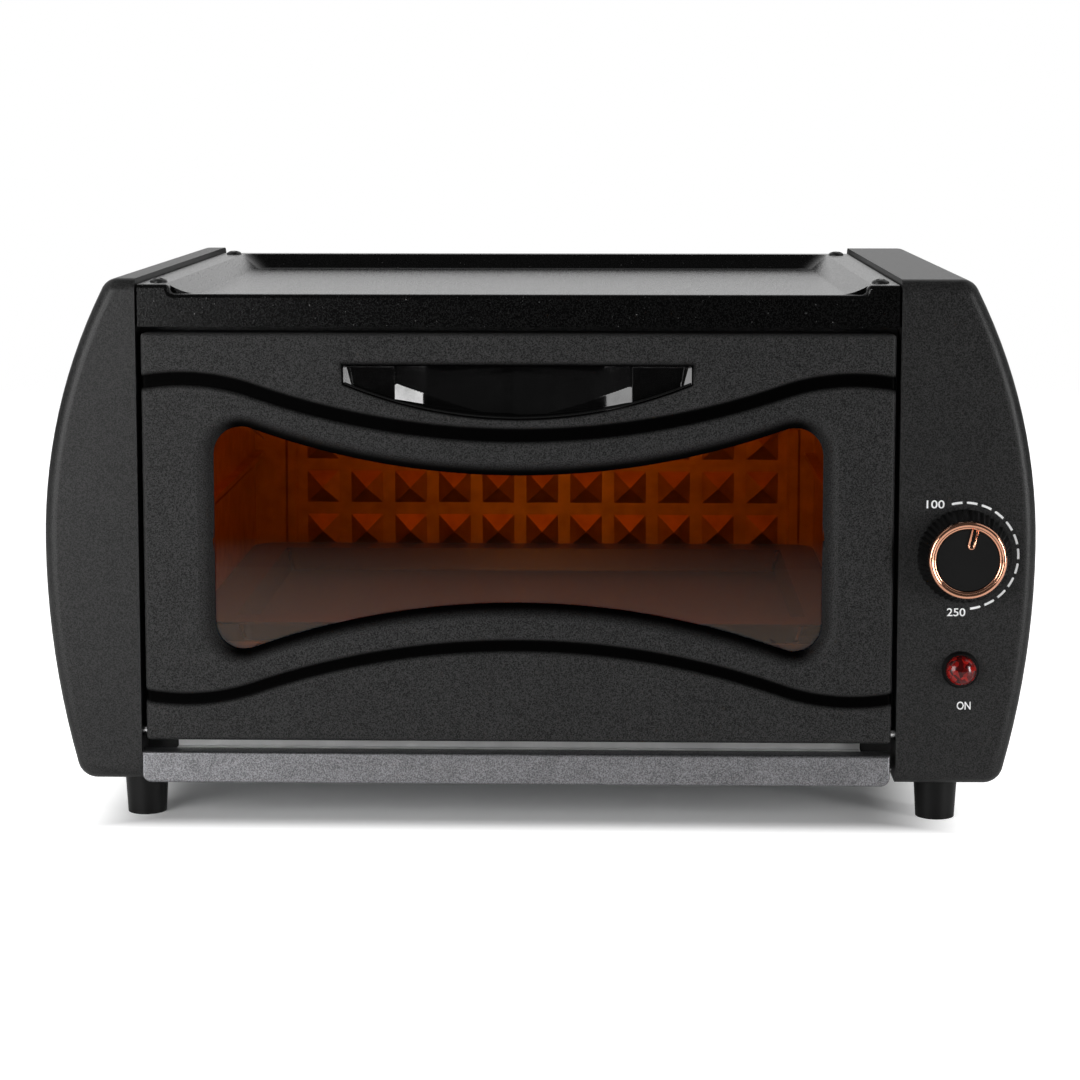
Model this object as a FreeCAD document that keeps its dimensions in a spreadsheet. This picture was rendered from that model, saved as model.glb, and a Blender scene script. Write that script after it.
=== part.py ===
import FreeCAD, Part
import math
import os
import Sketcher

# Electric tandoor: a countertop oven with a drop-down front door.
# Millimetres. +X right, -Y front, +Z up, origin at the middle of the footprint on the table.

V = FreeCAD.Vector

SIZES = {
    # casing
    "over_width": 390.0,           # bulge of one side panel to bulge of the other
    "panel_depth": 258.0,
    "panel_height": 199.3,
    "left_panel_width": 37.7,
    "right_panel_width": 54.0,
    "bulge_height": 94.4,          # of the widest place, above the panel's bottom
    "upper_bulge_inset": 26.35,    # top corner, drawn in from the widest place
    "lower_bulge_inset": 13.0,     # and bottom corner
    "top_corner_radius": 7.0,
    "bottom_corner_radius": 8.0,
    "panel_edge_radius": 5.5,
    "panel_wall": 1.5,
    "panel_lip": 9.0,              # width of the inner wall left along top, bottom and rear
    "sheet": 0.8,                  # chassis steel
    "fit_gap": 0.4,                # between neighbouring fixed pieces
    # feet
    "foot_height": 17.9,
    "foot_side_inset": 35.7,       # from the widest place of the side panels
    "foot_inset": 23.0,
    "foot_top_dia": 17.6,
    "foot_bottom_dia": 15.5,
    # top cover
    "cover_rear_gap": 13.0,        # cover's back edge before the panels' back
    "cover_side_gap": 1.0,         # between the cover's sides and the side panels
    "cover_skin": 1.2,
    "cover_drop": 2.2,             # cover flange below the side panels' top
    "cover_front_height": 16.5,
    "cover_lip_drop": 3.8,         # front lip below the flange
    "cover_recess": 6.6,
    "cover_border": 10.6,
    "cover_slope": 7.4,
    "cover_rear_border": 8.0,
    "cover_lip_depth": 5.0,
    "cover_edge_radius": 2.0,
    "cover_corner_radius": 7.0,
    "cover_screw_inset": 7.2,
    "cover_screw_front": 15.0,
    "cover_screw_rear": 13.0,      # before the cover's back edge
    "bracket_front": 9.0,          # cover brackets behind the front plane
    # door
    "door_side_gap": 1.9,
    "door_bottom_gap": 16.2,       # above the panels' bottom
    "door_top_gap": 2.4,           # below the cover's front
    "door_thickness": 14.0,
    "door_skin": 1.2,
    "door_corner_radius": 2.0,
    "door_back_gap": 1.6,
    "hinge_rise": 3.4,             # pin above the door's bottom edge
    "hinge_set_back": 5.5,         # pin behind the door's face
    "hinge_pin_dia": 3.6,
    "pin_clearance": 0.05,
    "pin_reach": 7.6,              # beyond the door's edge
    # window
    "window_side": 27.6,           # between the window's end and the door's edge
    "upper_window_gap": 13.15,     # between the upper wave's valley and the window's waist
    "lower_window_gap": 13.95,
    "window_corner_gap": 3.53,     # window's upper corners below the handle
    "window_corner_radius": 11.0,
    "window_border": 5.2,
    "window_border_depth": 4.2,
    "glass_thick": 3.2,
    "glass_overlap": 8.0,          # beyond the window at the ends
    "glass_lap": 2.6,              # and above and below its corners
    "seal_thick": 0.8,
    "retainer_thick": 1.0,
    # pressed waves above and below the window
    "wave_crest_radius": 86.0,
    "wave_crest_rise": 22.0,       # above the valley
    "wave_crest_inset": 15.75,     # crest from the door's edge
    "handle_wave_gap": 3.45,       # between the handle and the upper wave's valley
    "lower_wave_height": 38.55,    # lower wave's valley above the door's bottom edge
    "upper_wave_width": 6.0,
    "lower_wave_width": 5.2,
    "wave_depth": 1.4,
    # door handle
    "handle_width": 136.2,
    "handle_top": 12.8,            # below the door's top edge
    "handle_drop": 20.8,
    "handle_arc_radius": 177.0,
    "handle_depth": 16.5,
    "handle_wall": 1.4,
    "handle_grip_width": 92.0,
    "handle_grip_drop": 15.5,
    # cooking chamber
    "chamber_left_inset": 15.9,    # inner face from the left panel's inner edge
    "chamber_right_inset": 16.4,
    "chamber_rear_space": 8.4,     # between the chamber's back wall and the rear panel
    "ceiling_drop": 26.5,          # below the panels' top
    "ceiling_lip": 12.0,
    "flange_lap": 11.0,            # left front flange behind the left side panel
    "flange_gap": 1.9,             # between the right front flange and the thermostat
    "rear_flange": 9.3,
    "rail_flange": 5.0,
    "stud_pitch": 20.9,
    "stud_size": 15.2,
    "stud_tip": 0.5,
    "stud_height": 5.0,
    "stud_margin": 10.0,           # left clear at each side of the field
    "stud_bottom": 37.0,           # lowest row above the panels' bottom
    "stud_shift": 4.0,             # field right of the chamber's middle
    "bead_span": 239.0,            # between the upright beads beside the field
    "bead_width": 6.2,
    "bead_height": 1.2,
    "bead_margin": 8.0,            # left clear below and above the beads
    "runner_reach": 5.0,
    "runner_height": 4.0,
    "upper_runner_rise": 44.0,
    # baking tray
    "tray_rim_top": 60.1,          # above the panels' bottom
    "tray_sheet": 1.0,
    "tray_rim": 15.0,
    "tray_well": 11.0,
    "tray_side_gap": 1.0,
    "tray_front": 22.0,
    "tray_back_gap": 6.0,          # before the chamber's back wall
    "tray_corner_radius": 12.0,
    "tray_taper": 15.0,            # degrees
    "tray_rest_gap": 0.3,
    "tray_panel_inset": 20.0,      # raised panel from the well's upper edge
    "tray_panel_height": 0.7,
    # crumb tray
    "strip_left_gap": 0.3,
    "strip_right_gap": 2.3,
    "strip_height": 12.4,
    "strip_drop": 0.6,             # below the panels' bottom
    "strip_proud": 1.4,
    "strip_depth": 8.0,
    "strip_corner_radius": 3.6,
    "strip_edge_radius": 1.0,
    "pan_back_gap": 2.4,           # before the chamber's back wall
    "pan_height": 5.4,
    "pan_sheet": 0.8,
    "pan_gap": 1.0,
    # heating elements
    "element_dia": 6.8,
    "element_low": 28.8,           # above the panels' bottom
    "element_drop": 16.5,          # of the upper pair, below the ceiling
    "element_front": 62.0,
    "element_rear": 57.0,          # before the chamber's back wall
    "insulator_dia": 12.0,
    "insulator_length": 9.0,
    "terminal_length": 8.0,
    # thermostat and knob
    "knob_inset": 25.5,            # knob's axis from the right panel's inner edge
    "knob_rise": 91.5,             # above the panels' bottom
    "knob_base_dia": 37.2,
    "knob_front_dia": 31.4,
    "knob_proud": 12.5,
    "knob_gap": 1.0,
    "knob_flutes": 48,
    "flute_depth": 0.7,
    "knob_ring_outer": 30.3,
    "knob_ring_inner": 24.0,
    "knob_ring_height": 2.4,
    "knob_cap_set_back": 1.6,
    "pointer_width": 3.1,
    "pointer_length": 8.3,
    "pointer_bar": 0.95,
    "pointer_angle": 11.8,         # degrees clockwise from straight up
    "shaft_dia": 6.0,
    "neck_dia": 9.6,
    "thermostat_width": 26.0,
    "thermostat_height": 26.0,
    "thermostat_depth": 20.0,
    "nut_across": 13.0,
    "nut_height": 2.4,
    # pilot lamp
    "lamp_inset": 24.8,
    "lamp_rise": 46.4,
    "lens_dia": 11.8,
    "bezel_dia": 14.7,
    "bezel_proud": 1.8,
    "lamp_body_length": 20.0,
    # supply
    "gland_dia": 15.0,
    "gland_proud": 6.0,
    "gland_bore": 7.4,
    "gland_rise": 35.8,
    "wire_dia": 2.6,
    "lead_bend": 20.0,
    "block_inset": 39.6,           # terminal block from the right panel's widest place
    "block_length": 30.0,
    "block_width": 14.0,
    "block_height": 12.0,
    # rear and base
    "rear_sheet": 1.0,
    "vent_slot": 3.2,
    "vent_pitch": 9.0,
    "vent_length": 34.0,
    "vent_count": 9,
    "rear_screw_inset": 4.7,       # behind the chamber's side walls
    "rear_screw_rise": 28.0,       # from the rear panel's lower and upper edge
    "base_sheet": 1.0,
    "base_front": 18.0,
    "base_side_inset": 25.0,       # base plate's side edge from the widest place
    # fasteners
    "screw_head_dia": 7.0,
    "screw_head_height": 2.1,
    "screw_dia": 3.4,
    "screw_length": 7.0,
    # door hinges
    "bracket_reach": 9.0,
    "rivet_inset": 5.6,
    "spring_wire": 0.8,
    "spring_pitch": 1.04,
    "spring_turns": 3,
}


class Size:
    """A value of the sheet, or a formula of such values, with its present number."""

    def __init__(self, value, text):
        self.value = value
        self.text = text

    def join(self, sign, other, value):
        return Size(value, f"({self.text} {sign} {other.text})")

    def __add__(self, other):
        other = as_size(other)
        return self.join("+", other, self.value + other.value)

    def __sub__(self, other):
        other = as_size(other)
        return self.join("-", other, self.value - other.value)

    def __mul__(self, other):
        other = as_size(other)
        return self.join("*", other, self.value * other.value)

    def __truediv__(self, other):
        other = as_size(other)
        return self.join("/", other, self.value / other.value)

    def __radd__(self, other):
        return as_size(other) + self

    def __rsub__(self, other):
        return as_size(other) - self

    def __rmul__(self, other):
        return as_size(other) * self

    def __neg__(self):
        return as_size(0.0) - self


class Sheet:
    """The sheet's aliases as Size values: d.door_skin stands for dims.door_skin."""


def as_size(number):
    return number if isinstance(number, Size) else Size(float(number), f"({float(number):.6f})")


def root(size):
    return Size(math.sqrt(size.value), f"sqrt({size.text})")


def whole(size):
    return Size(math.floor(size.value), f"floor({size.text})")


doc = FreeCAD.newDocument("electric_tandoor")
sheet = doc.addObject("Spreadsheet::Sheet", "dims")
d = Sheet()
for row, (alias, number) in enumerate(SIZES.items(), start=1):
    sheet.set(f"A{row}", alias)
    sheet.set(f"B{row}", str(number))
    sheet.setAlias(f"B{row}", alias)
    setattr(d, alias, Size(float(number), f"dims.{alias}"))
doc.recompute()

# ---------------------------------------------------------------- places that pieces share

FRONT = (d.knob_proud - d.panel_depth - d.gland_proud) / 2
BACK = FRONT + d.panel_depth
BOTTOM = d.foot_height
TOP = BOTTOM + d.panel_height
LEFT = d.left_panel_width - d.over_width / 2
RIGHT = d.over_width / 2 - d.right_panel_width
BULGE = BOTTOM + d.bulge_height

COVER_FLANGE = TOP - d.cover_drop
COVER_BOTTOM = COVER_FLANGE - d.cover_front_height
COVER_BACK = BACK - d.cover_rear_gap
REAR_Y = COVER_BACK - d.cover_skin - d.fit_gap        # outer face of the rear panel

DOOR_MID = (LEFT + RIGHT) / 2
DOOR_HALF = (RIGHT - LEFT) / 2 - d.door_side_gap
DOOR_BOTTOM = BOTTOM + d.door_bottom_gap
DOOR_TOP = COVER_BOTTOM - d.door_top_gap
DOOR_BACK = FRONT + d.door_thickness
HINGE_Y = FRONT + d.hinge_set_back
HINGE_Z = DOOR_BOTTOM + d.hinge_rise

HANDLE_TOP = DOOR_TOP - d.handle_top
HANDLE_HALF = d.handle_width / 2
UPPER_WAVE = HANDLE_TOP - d.handle_drop - d.handle_wave_gap - d.upper_wave_width / 2
LOWER_WAVE = DOOR_BOTTOM + d.lower_wave_height
WINDOW_HIGH = UPPER_WAVE - d.upper_wave_width / 2 - d.upper_window_gap      # at the waist
WINDOW_LOW = LOWER_WAVE + d.lower_wave_width / 2 + d.lower_window_gap
WINDOW_Z = (WINDOW_HIGH + WINDOW_LOW) / 2
WAIST = (WINDOW_HIGH - WINDOW_LOW) / 2
WINDOW_HALF = DOOR_HALF - d.window_side
BOSS_BACK = FRONT + d.window_border_depth
CORNER_X = WINDOW_HALF - d.window_corner_radius
FLARE = d.handle_wave_gap + d.upper_wave_width + d.upper_window_gap - d.window_corner_gap
CORNER_RISE = FLARE - d.window_corner_radius
WINDOW_ARC = (CORNER_X * CORNER_X + CORNER_RISE * CORNER_RISE
              - d.window_corner_radius * d.window_corner_radius) / (2 * FLARE)
GLASS_FRONT = BOSS_BACK + d.seal_thick
GLASS_BACK = GLASS_FRONT + d.glass_thick

RAIL_Y = DOOR_BACK + d.door_back_gap           # front face of the rails behind the door
FLANGE_Y = RAIL_Y + d.sheet                    # front face of the chamber walls' flanges
CHAMBER_LEFT = LEFT + d.chamber_left_inset
CHAMBER_RIGHT = RIGHT - d.chamber_right_inset
CHAMBER_BACK = REAR_Y - d.chamber_rear_space
CEILING = TOP - d.ceiling_drop
BASE_TOP = BOTTOM + d.panel_wall + d.base_sheet
TRAY_TOP = BOTTOM + d.tray_rim_top
TRAY_FRONT = FRONT + d.tray_front
TRAY_BACK = CHAMBER_BACK - d.tray_back_gap
ELEMENT_ROWS = (("front", FRONT + d.element_front), ("rear", CHAMBER_BACK - d.element_rear))
ELEMENT_LEVELS = (("lower", BOTTOM + d.element_low), ("upper", CEILING - d.element_drop))
KNOB_X = RIGHT + d.knob_inset
KNOB_Z = BOTTOM + d.knob_rise
LAMP_X = RIGHT + d.lamp_inset
LAMP_Z = BOTTOM + d.lamp_rise
GLAND_X = KNOB_X
GLAND_Z = BOTTOM + d.gland_rise

NODES = []


# ---------------------------------------------------------------- how pieces are made

def bind(thing, prop, size):
    thing.setExpression(prop, as_size(size).text)


def keep(thing, name):
    """The finished piece, under the name of its node."""
    thing.Label = name
    NODES.append(thing)
    return thing


def new_body(name):
    body = doc.addObject("PartDesign::Body", name)
    body.Label = name
    return body


def sketch(body, name, plane_role, height=0.0):
    """An empty sketch on an origin plane of its body, moved by height along the plane's normal."""
    made = body.newObject("Sketcher::SketchObject", name)
    plane = next(o for o in body.Origin.OriginFeatures if o.Role == plane_role)
    made.AttachmentSupport = [(plane, "")]
    made.MapMode = "FlatFace"
    bind(made, "AttachmentOffset.Base.z", height)
    return made


def front_sketch(body, name, at_y):
    """A sketch seen from the front, so its normal is -Y."""
    return sketch(body, name, "XZ_Plane", -at_y)


def hold(drawn, kind, sizes, *places):
    """Adds a constraint whose value follows the sheet."""
    index = drawn.addConstraint(Sketcher.Constraint(kind, *places, sizes.value))
    drawn.setExpression(f"Constraints[{index}]", sizes.text)


def outline(drawn, *corners):
    """Closes a loop through corners (x, y) or (x, y, radius, turn).

    The edge that arrives at a corner is straight, or an arc of that radius:
    turn 1 runs anticlockwise, -1 clockwise.
    """
    corners = [(as_size(c[0]), as_size(c[1])) + tuple(c[2:]) for c in corners]
    first_ends = []
    last_ends = []
    for before, after in zip([corners[-1]] + corners[:-1], corners):
        here = V(before[0].value, before[1].value, 0)
        there = V(after[0].value, after[1].value, 0)
        if len(after) == 2:
            edge = drawn.addGeometry(Part.LineSegment(here, there), False)
            first_ends.append((edge, 1))
            last_ends.append((edge, 2))
            continue
        radius, turn = after[2:]
        chord = there - here
        to_centre = math.sqrt(radius.value ** 2 - (chord.Length / 2) ** 2)
        across = V(-chord.y, chord.x, 0).normalize()
        centre = (here + there) / 2 + across * to_centre * turn
        begin, end = (here, there) if turn > 0 else (there, here)
        angles = [math.atan2(p.y - centre.y, p.x - centre.x) for p in (begin, end)]
        circle = Part.Circle(centre, V(0, 0, 1), radius.value)
        edge = drawn.addGeometry(Part.ArcOfCircle(circle, *angles), False)
        first_ends.append((edge, 1 if turn > 0 else 2))
        last_ends.append((edge, 2 if turn > 0 else 1))
        hold(drawn, "Radius", radius, edge)
    for corner, arrived, leaving in zip(corners, last_ends, first_ends[1:] + first_ends[:1]):
        drawn.addConstraint(Sketcher.Constraint("Coincident", *arrived, *leaving))
        hold(drawn, "DistanceX", corner[0], -1, 1, *arrived)
        hold(drawn, "DistanceY", corner[1], -1, 1, *arrived)


def rectangle(drawn, x0, y0, x1, y1):
    outline(drawn, (x0, y0), (x1, y0), (x1, y1), (x0, y1))


def rounded(drawn, x0, y0, x1, y1, radius):
    """A rectangle with round corners."""
    outline(drawn, (x1 - radius, y0), (x1, y0 + radius, radius, 1), (x1, y1 - radius),
            (x1 - radius, y1, radius, 1), (x0 + radius, y1), (x0, y1 - radius, radius, 1),
            (x0, y0 + radius), (x0 + radius, y0, radius, 1))


def ring(drawn, x, y, radius):
    x, y, radius = as_size(x), as_size(y), as_size(radius)
    edge = drawn.addGeometry(Part.Circle(V(x.value, y.value, 0), V(0, 0, 1), radius.value), False)
    hold(drawn, "Radius", radius, edge)
    hold(drawn, "DistanceX", x, -1, 1, edge, 3)
    hold(drawn, "DistanceY", y, -1, 1, edge, 3)


def extrude(body, kind, profile, length, turned):
    made = body.newObject(f"PartDesign::{kind}", f"{profile.Name}_{kind.lower()}")
    made.Profile = profile
    bind(made, "Length", length)
    made.Reversed = turned
    return made


def pad(body, profile, length, back=False):
    """Adds along the sketch's normal, or behind the sketch."""
    return extrude(body, "Pad", profile, length, back)


def pocket(body, profile, length, ahead=False):
    """Cuts behind the sketch, or ahead of it along its normal."""
    return extrude(body, "Pocket", profile, length, ahead)


def loft(body, kind, first, second):
    made = body.newObject(f"PartDesign::{kind}", f"{first.Name}_loft")
    made.Profile = first
    made.Sections = [second]
    return made


def pick(shape, test):
    """Names of the edges whose middle point and box pass the test."""
    names = []
    for number, edge in enumerate(shape.Edges, start=1):
        if test(edge.CenterOfMass, edge.BoundBox):
            names.append(f"Edge{number}")
    return names


def dress(body, kind, prop, size, test):
    """Fillets or chamfers the body's present edges that pass the test."""
    doc.recompute()
    base = body.Tip
    names = pick(base.Shape, test)
    made = body.newObject(f"PartDesign::{kind}", f"{base.Name}_{kind.lower()}")
    made.Base = (base, names)
    bind(made, prop, size)
    return made


def fillet(body, size, test):
    return dress(body, "Fillet", "Radius", size, test)


def near(a, b, slack=0.02):
    value = b.value if isinstance(b, Size) else b
    return abs(a - value) < slack


def box(name, x0, y0, z0, x1, y1, z1):
    made = doc.addObject("Part::Box", name)
    bind(made, "Length", as_size(x1) - x0)
    bind(made, "Width", as_size(y1) - y0)
    bind(made, "Height", as_size(z1) - z0)
    place(made, x0, y0, z0)
    return made


def place(made, x, y, z):
    bind(made, "Placement.Base.x", x)
    bind(made, "Placement.Base.y", y)
    bind(made, "Placement.Base.z", z)


TURNS = {
    "x": FreeCAD.Rotation(V(0, 1, 0), 90),
    "y": FreeCAD.Rotation(V(1, 0, 0), -90),
    "-y": FreeCAD.Rotation(V(1, 0, 0), 90),
    "z": FreeCAD.Rotation(),
    "-z": FreeCAD.Rotation(V(1, 0, 0), 180),
}


def rod(name, x, y, z, radius, length, along, end_radius=None):
    """A cylinder, or a cone where the far end has its own radius, starting at x, y, z."""
    kind = "Part::Cylinder" if end_radius is None else "Part::Cone"
    made = doc.addObject(kind, name)
    made.Placement = FreeCAD.Placement(V(), TURNS[along])
    bind(made, "Radius" if end_radius is None else "Radius1", radius)
    if end_radius is not None:
        bind(made, "Radius2", end_radius)
    bind(made, "Height", length)
    place(made, x, y, z)
    return made


def fuse(name, *pieces):
    made = doc.addObject("Part::MultiFuse", name)
    made.Shapes = list(pieces)
    return made


def cut(name, base, tool):
    made = doc.addObject("Part::Cut", name)
    made.Base = base
    made.Tool = tool
    return made


def group(name, pieces):
    """Several loose solids in one node."""
    made = doc.addObject("Part::Compound", name)
    made.Links = list(pieces)
    return keep(made, name)


def pan_screw(name, x, y, z, along):
    """A pan-head cross-recess screw; x, y, z is where its head sits, along is into the work."""
    out = {"-z": (0, 0, 1), "y": (0, -1, 0), "-y": (0, 1, 0), "z": (0, 0, -1)}[along]
    shank = rod(f"{name}_shank", x, y, z, d.screw_dia / 2, d.screw_length, along)
    back = {"-z": "z", "y": "-y", "-y": "y", "z": "-z"}[along]
    head = rod(f"{name}_head", x, y, z, d.screw_head_dia / 2, d.screw_head_height, back,
               d.screw_head_dia / 3)
    arm = d.screw_head_dia / 4
    slot = d.screw_dia / 7
    deep = d.screw_head_height / 2
    centre = [as_size(c) + d.screw_head_height * o for c, o in zip((x, y, z), out)]
    flat = [axis for axis in range(3) if out[axis] == 0]
    slots = []
    for turn, long_axis in enumerate(flat):
        halves = [deep, deep, deep]
        for axis in flat:
            halves[axis] = arm if axis == long_axis else slot
        low = [c - half for c, half in zip(centre, halves)]
        high = [c + half for c, half in zip(centre, halves)]
        slots.append(box(f"{name}_slot{turn}", *low, *high))
    solid = fuse(f"{name}_solid", shank, head)
    return cut(name, solid, fuse(f"{name}_cross", *slots))


# ---------------------------------------------------------------- side panels

def bow(rise, inset):
    """Radius of an arc that is drawn in by inset over rise, starting upright."""
    return (rise * rise + inset * inset) / (2 * inset)


def panel_form(name, side, inset):
    """The panel's bulged form, moved inward by inset on every side."""
    body = new_body(name)
    drawn = front_sketch(body, f"{name}_outline", FRONT + inset)
    inner = (LEFT if side < 0 else RIGHT) + side * inset
    outer = side * (d.over_width / 2 - inset)
    low = BOTTOM + inset
    high = TOP - inset
    upper = bow(TOP - BULGE, d.upper_bulge_inset) - inset
    lower = bow(d.bulge_height, d.lower_bulge_inset) - inset
    low_corner = outer - side * (lower - root(lower * lower - (BULGE - low) * (BULGE - low)))
    high_corner = outer - side * (upper - root(upper * upper - (high - BULGE) * (high - BULGE)))
    outline(drawn, (inner, low), (low_corner, low), (outer, BULGE, lower, side),
            (high_corner, high, upper, side), (inner, high))
    pad(body, drawn, d.panel_depth - 2 * inset, back=True)

    def along_y(centre, extent):
        return extent.YLength > d.panel_depth.value / 2 and not near(centre.x, inner)

    fillet(body, d.top_corner_radius - inset, lambda c, e: along_y(c, e) and near(c.z, high))
    fillet(body, d.bottom_corner_radius - inset, lambda c, e: along_y(c, e) and near(c.z, low))
    rims = (FRONT + inset, BACK - inset)
    fillet(body, d.panel_edge_radius - inset,
           lambda c, e: any(near(c.y, r) for r in rims) and not near(c.x, inner))
    return body


def side_panel(name, side):
    inner = LEFT if side < 0 else RIGHT
    wall = d.panel_wall
    hollow = panel_form(f"{name}_hollow", side, wall)
    x0, x1 = sorted((inner - side * wall, inner + side * 2 * wall), key=lambda s: s.value)
    mouth = box(f"{name}_mouth", x0, RAIL_Y, BOTTOM + d.panel_lip,
                x1, BACK - d.panel_lip, TOP - d.panel_lip)
    # the base plate slides in over the bottom wall
    slit = box(f"{name}_slit", x0, RAIL_Y, BOTTOM + wall,
               x1, BACK - d.panel_lip, BOTTOM + d.panel_lip)
    pin_hole = rod(f"{name}_pin_hole", x0, HINGE_Y, HINGE_Z, d.hinge_pin_dia / 2 + 2 * d.fit_gap,
                   3 * wall, "x")
    holes = [hollow, mouth, slit, pin_hole]
    foot_x = side * (d.over_width / 2 - d.foot_side_inset)
    for place_name, y in (("front", FRONT + d.foot_inset), ("rear", BACK - d.foot_inset)):
        holes.append(rod(f"{name}_{place_name}_foot_hole", foot_x, y, BOTTOM - wall,
                         d.screw_dia / 2 + d.pin_clearance, 3 * wall, "z"))
    if side > 0:
        holes.append(rod("knob_hole", KNOB_X, FRONT - wall, KNOB_Z,
                         d.neck_dia / 2 + d.pin_clearance, 3 * wall, "y"))
        holes.append(rod("lamp_hole", LAMP_X, FRONT - wall, LAMP_Z,
                         d.lens_dia / 2 + d.pin_clearance, 3 * wall, "y"))
        holes.append(rod("gland_hole", GLAND_X, BACK - 2 * wall, GLAND_Z,
                         d.gland_dia / 2 - 2 * d.fit_gap, 3 * wall, "y"))
    panel = cut(name, panel_form(f"{name}_form", side, as_size(0)), fuse(f"{name}_holes", *holes))
    keep(panel, name)


# ---------------------------------------------------------------- top cover

def cover_form(name, inset):
    """The pressed cover's form, moved inward by inset, with its long recess."""
    body = new_body(name)
    left = LEFT + d.cover_side_gap
    right = RIGHT - d.cover_side_gap
    top = COVER_FLANGE - inset
    floor = top - d.cover_recess
    lip = top - d.cover_lip_drop
    block = sketch(body, f"{name}_plan", "XY_Plane", COVER_BOTTOM)
    rectangle(block, left + inset, FRONT + inset, right - inset, COVER_BACK - inset)
    pad(body, block, top - COVER_BOTTOM)
    # the front edge dips between the two borders, through an S-curve at each end
    run = d.cover_slope * d.cover_lip_drop / d.cover_recess
    bend = (run * run + d.cover_lip_drop * d.cover_lip_drop) / (4 * d.cover_lip_drop)
    rim_left = left + d.cover_border - inset
    rim_right = right - d.cover_border + inset
    above = top + d.cover_recess
    halfway = (top + lip) / 2
    notch = front_sketch(body, f"{name}_notch", FRONT + d.cover_lip_depth)
    outline(notch, (rim_left, above), (rim_left, top), (rim_left + run / 2, halfway, bend, -1),
            (rim_left + run, lip, bend, 1), (rim_right - run, lip),
            (rim_right - run / 2, halfway, bend, 1), (rim_right, top, bend, -1), (rim_right, above))
    pocket(body, notch, d.cover_lip_depth, ahead=True)
    # the recess behind it, with sloping sides
    front_rim = FRONT + d.cover_lip_depth - run - inset
    back_rim = COVER_BACK - d.cover_rear_border + inset
    mouth = sketch(body, f"{name}_mouth", "XY_Plane", top)
    rounded(mouth, rim_left, front_rim, rim_right, back_rim, d.cover_corner_radius)
    bed = sketch(body, f"{name}_bed", "XY_Plane", floor)
    slope = d.cover_slope
    rounded(bed, rim_left + slope, front_rim + slope, rim_right - slope, back_rim - slope,
            d.cover_corner_radius)
    loft(body, "SubtractiveLoft", mouth, bed)
    return body


def cover_hole_places():
    for side, x in (("left", LEFT + d.cover_screw_inset), ("right", RIGHT - d.cover_screw_inset)):
        for end, y in (("front", FRONT + d.cover_screw_front), ("rear", COVER_BACK - d.cover_screw_rear)):
            yield f"{side}_{end}", x, y


def top_cover():
    outer = cover_form("cover_outer", as_size(0))
    low = COVER_FLANGE - d.cover_lip_drop
    fillet(outer, d.cover_edge_radius,
           lambda c, e: near(e.YMin, FRONT) and near(e.YMax, FRONT) and e.ZMin > low.value - 0.02)
    floor = COVER_FLANGE - d.cover_recess
    fillet(outer, d.cover_edge_radius,
           lambda c, e: near(e.ZMin, floor) and near(e.ZMax, floor))
    inner = cover_form("cover_inner", d.cover_skin)
    holes = [rod(f"cover_hole_{name}", x, y, COVER_BOTTOM, d.screw_dia / 2 + d.pin_clearance,
                 d.cover_front_height * 2, "z") for name, x, y in cover_hole_places()]
    keep(cut("top_cover", outer, fuse("cover_space", inner, *holes)), "top_cover")
    group("cover_screws", [pan_screw(f"cover_screw_{name}", x, y, COVER_FLANGE, "-z")
                           for name, x, y in cover_hole_places()])


def cover_bracket(name, side):
    """Folded channel on the chamber wall that carries one border of the cover and its screws."""
    body = new_body(name)
    sheet_edge = (CHAMBER_LEFT if side < 0 else CHAMBER_RIGHT) + side * d.sheet
    border = LEFT if side < 0 else RIGHT
    out = border - side * (d.cover_side_gap + d.fit_gap + d.cover_skin)
    tip = border - side * (d.cover_border - d.cover_skin)
    foot = CEILING - d.sheet
    top = COVER_FLANGE - d.cover_skin
    front = FRONT + d.bracket_front
    rear = REAR_Y - d.rear_sheet - d.sheet - d.fit_gap
    end_view = front_sketch(body, f"{name}_end", front)
    outline(end_view, (sheet_edge, foot), (sheet_edge + side * d.sheet, foot),
            (sheet_edge + side * d.sheet, COVER_BOTTOM - d.sheet), (out, COVER_BOTTOM - d.sheet),
            (out, top), (tip, top), (tip, top - d.sheet), (out - side * d.sheet, top - d.sheet),
            (out - side * d.sheet, COVER_BOTTOM), (sheet_edge, COVER_BOTTOM))
    pad(body, end_view, rear - front, back=True)
    # its foot stops behind the chamber wall's front flange
    clip = front_sketch(body, f"{name}_clip", front)
    x0, x1 = sorted((sheet_edge, out), key=lambda s: s.value)
    rectangle(clip, x0, foot, x1, COVER_BOTTOM)
    pocket(body, clip, FLANGE_Y + d.sheet + d.fit_gap - front)
    holes = sketch(body, f"{name}_screw_holes", "XY_Plane", top)
    for place_name, x, y in cover_hole_places():
        if place_name.startswith("left" if side < 0 else "right"):
            ring(holes, x, y, d.screw_dia / 2 + d.pin_clearance)
    pocket(body, holes, 2 * d.sheet)
    keep(body, name)


# ---------------------------------------------------------------- chassis

def wall_holes(body, name, plane_x):
    """Holes for the heating elements through a chamber wall."""
    drawn = sketch(body, f"{name}_element_holes", "YZ_Plane", plane_x)
    for _, y in ELEMENT_ROWS:
        for _, z in ELEMENT_LEVELS:
            ring(drawn, y, z, d.element_dia / 2 + d.fit_gap)
    return drawn


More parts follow.
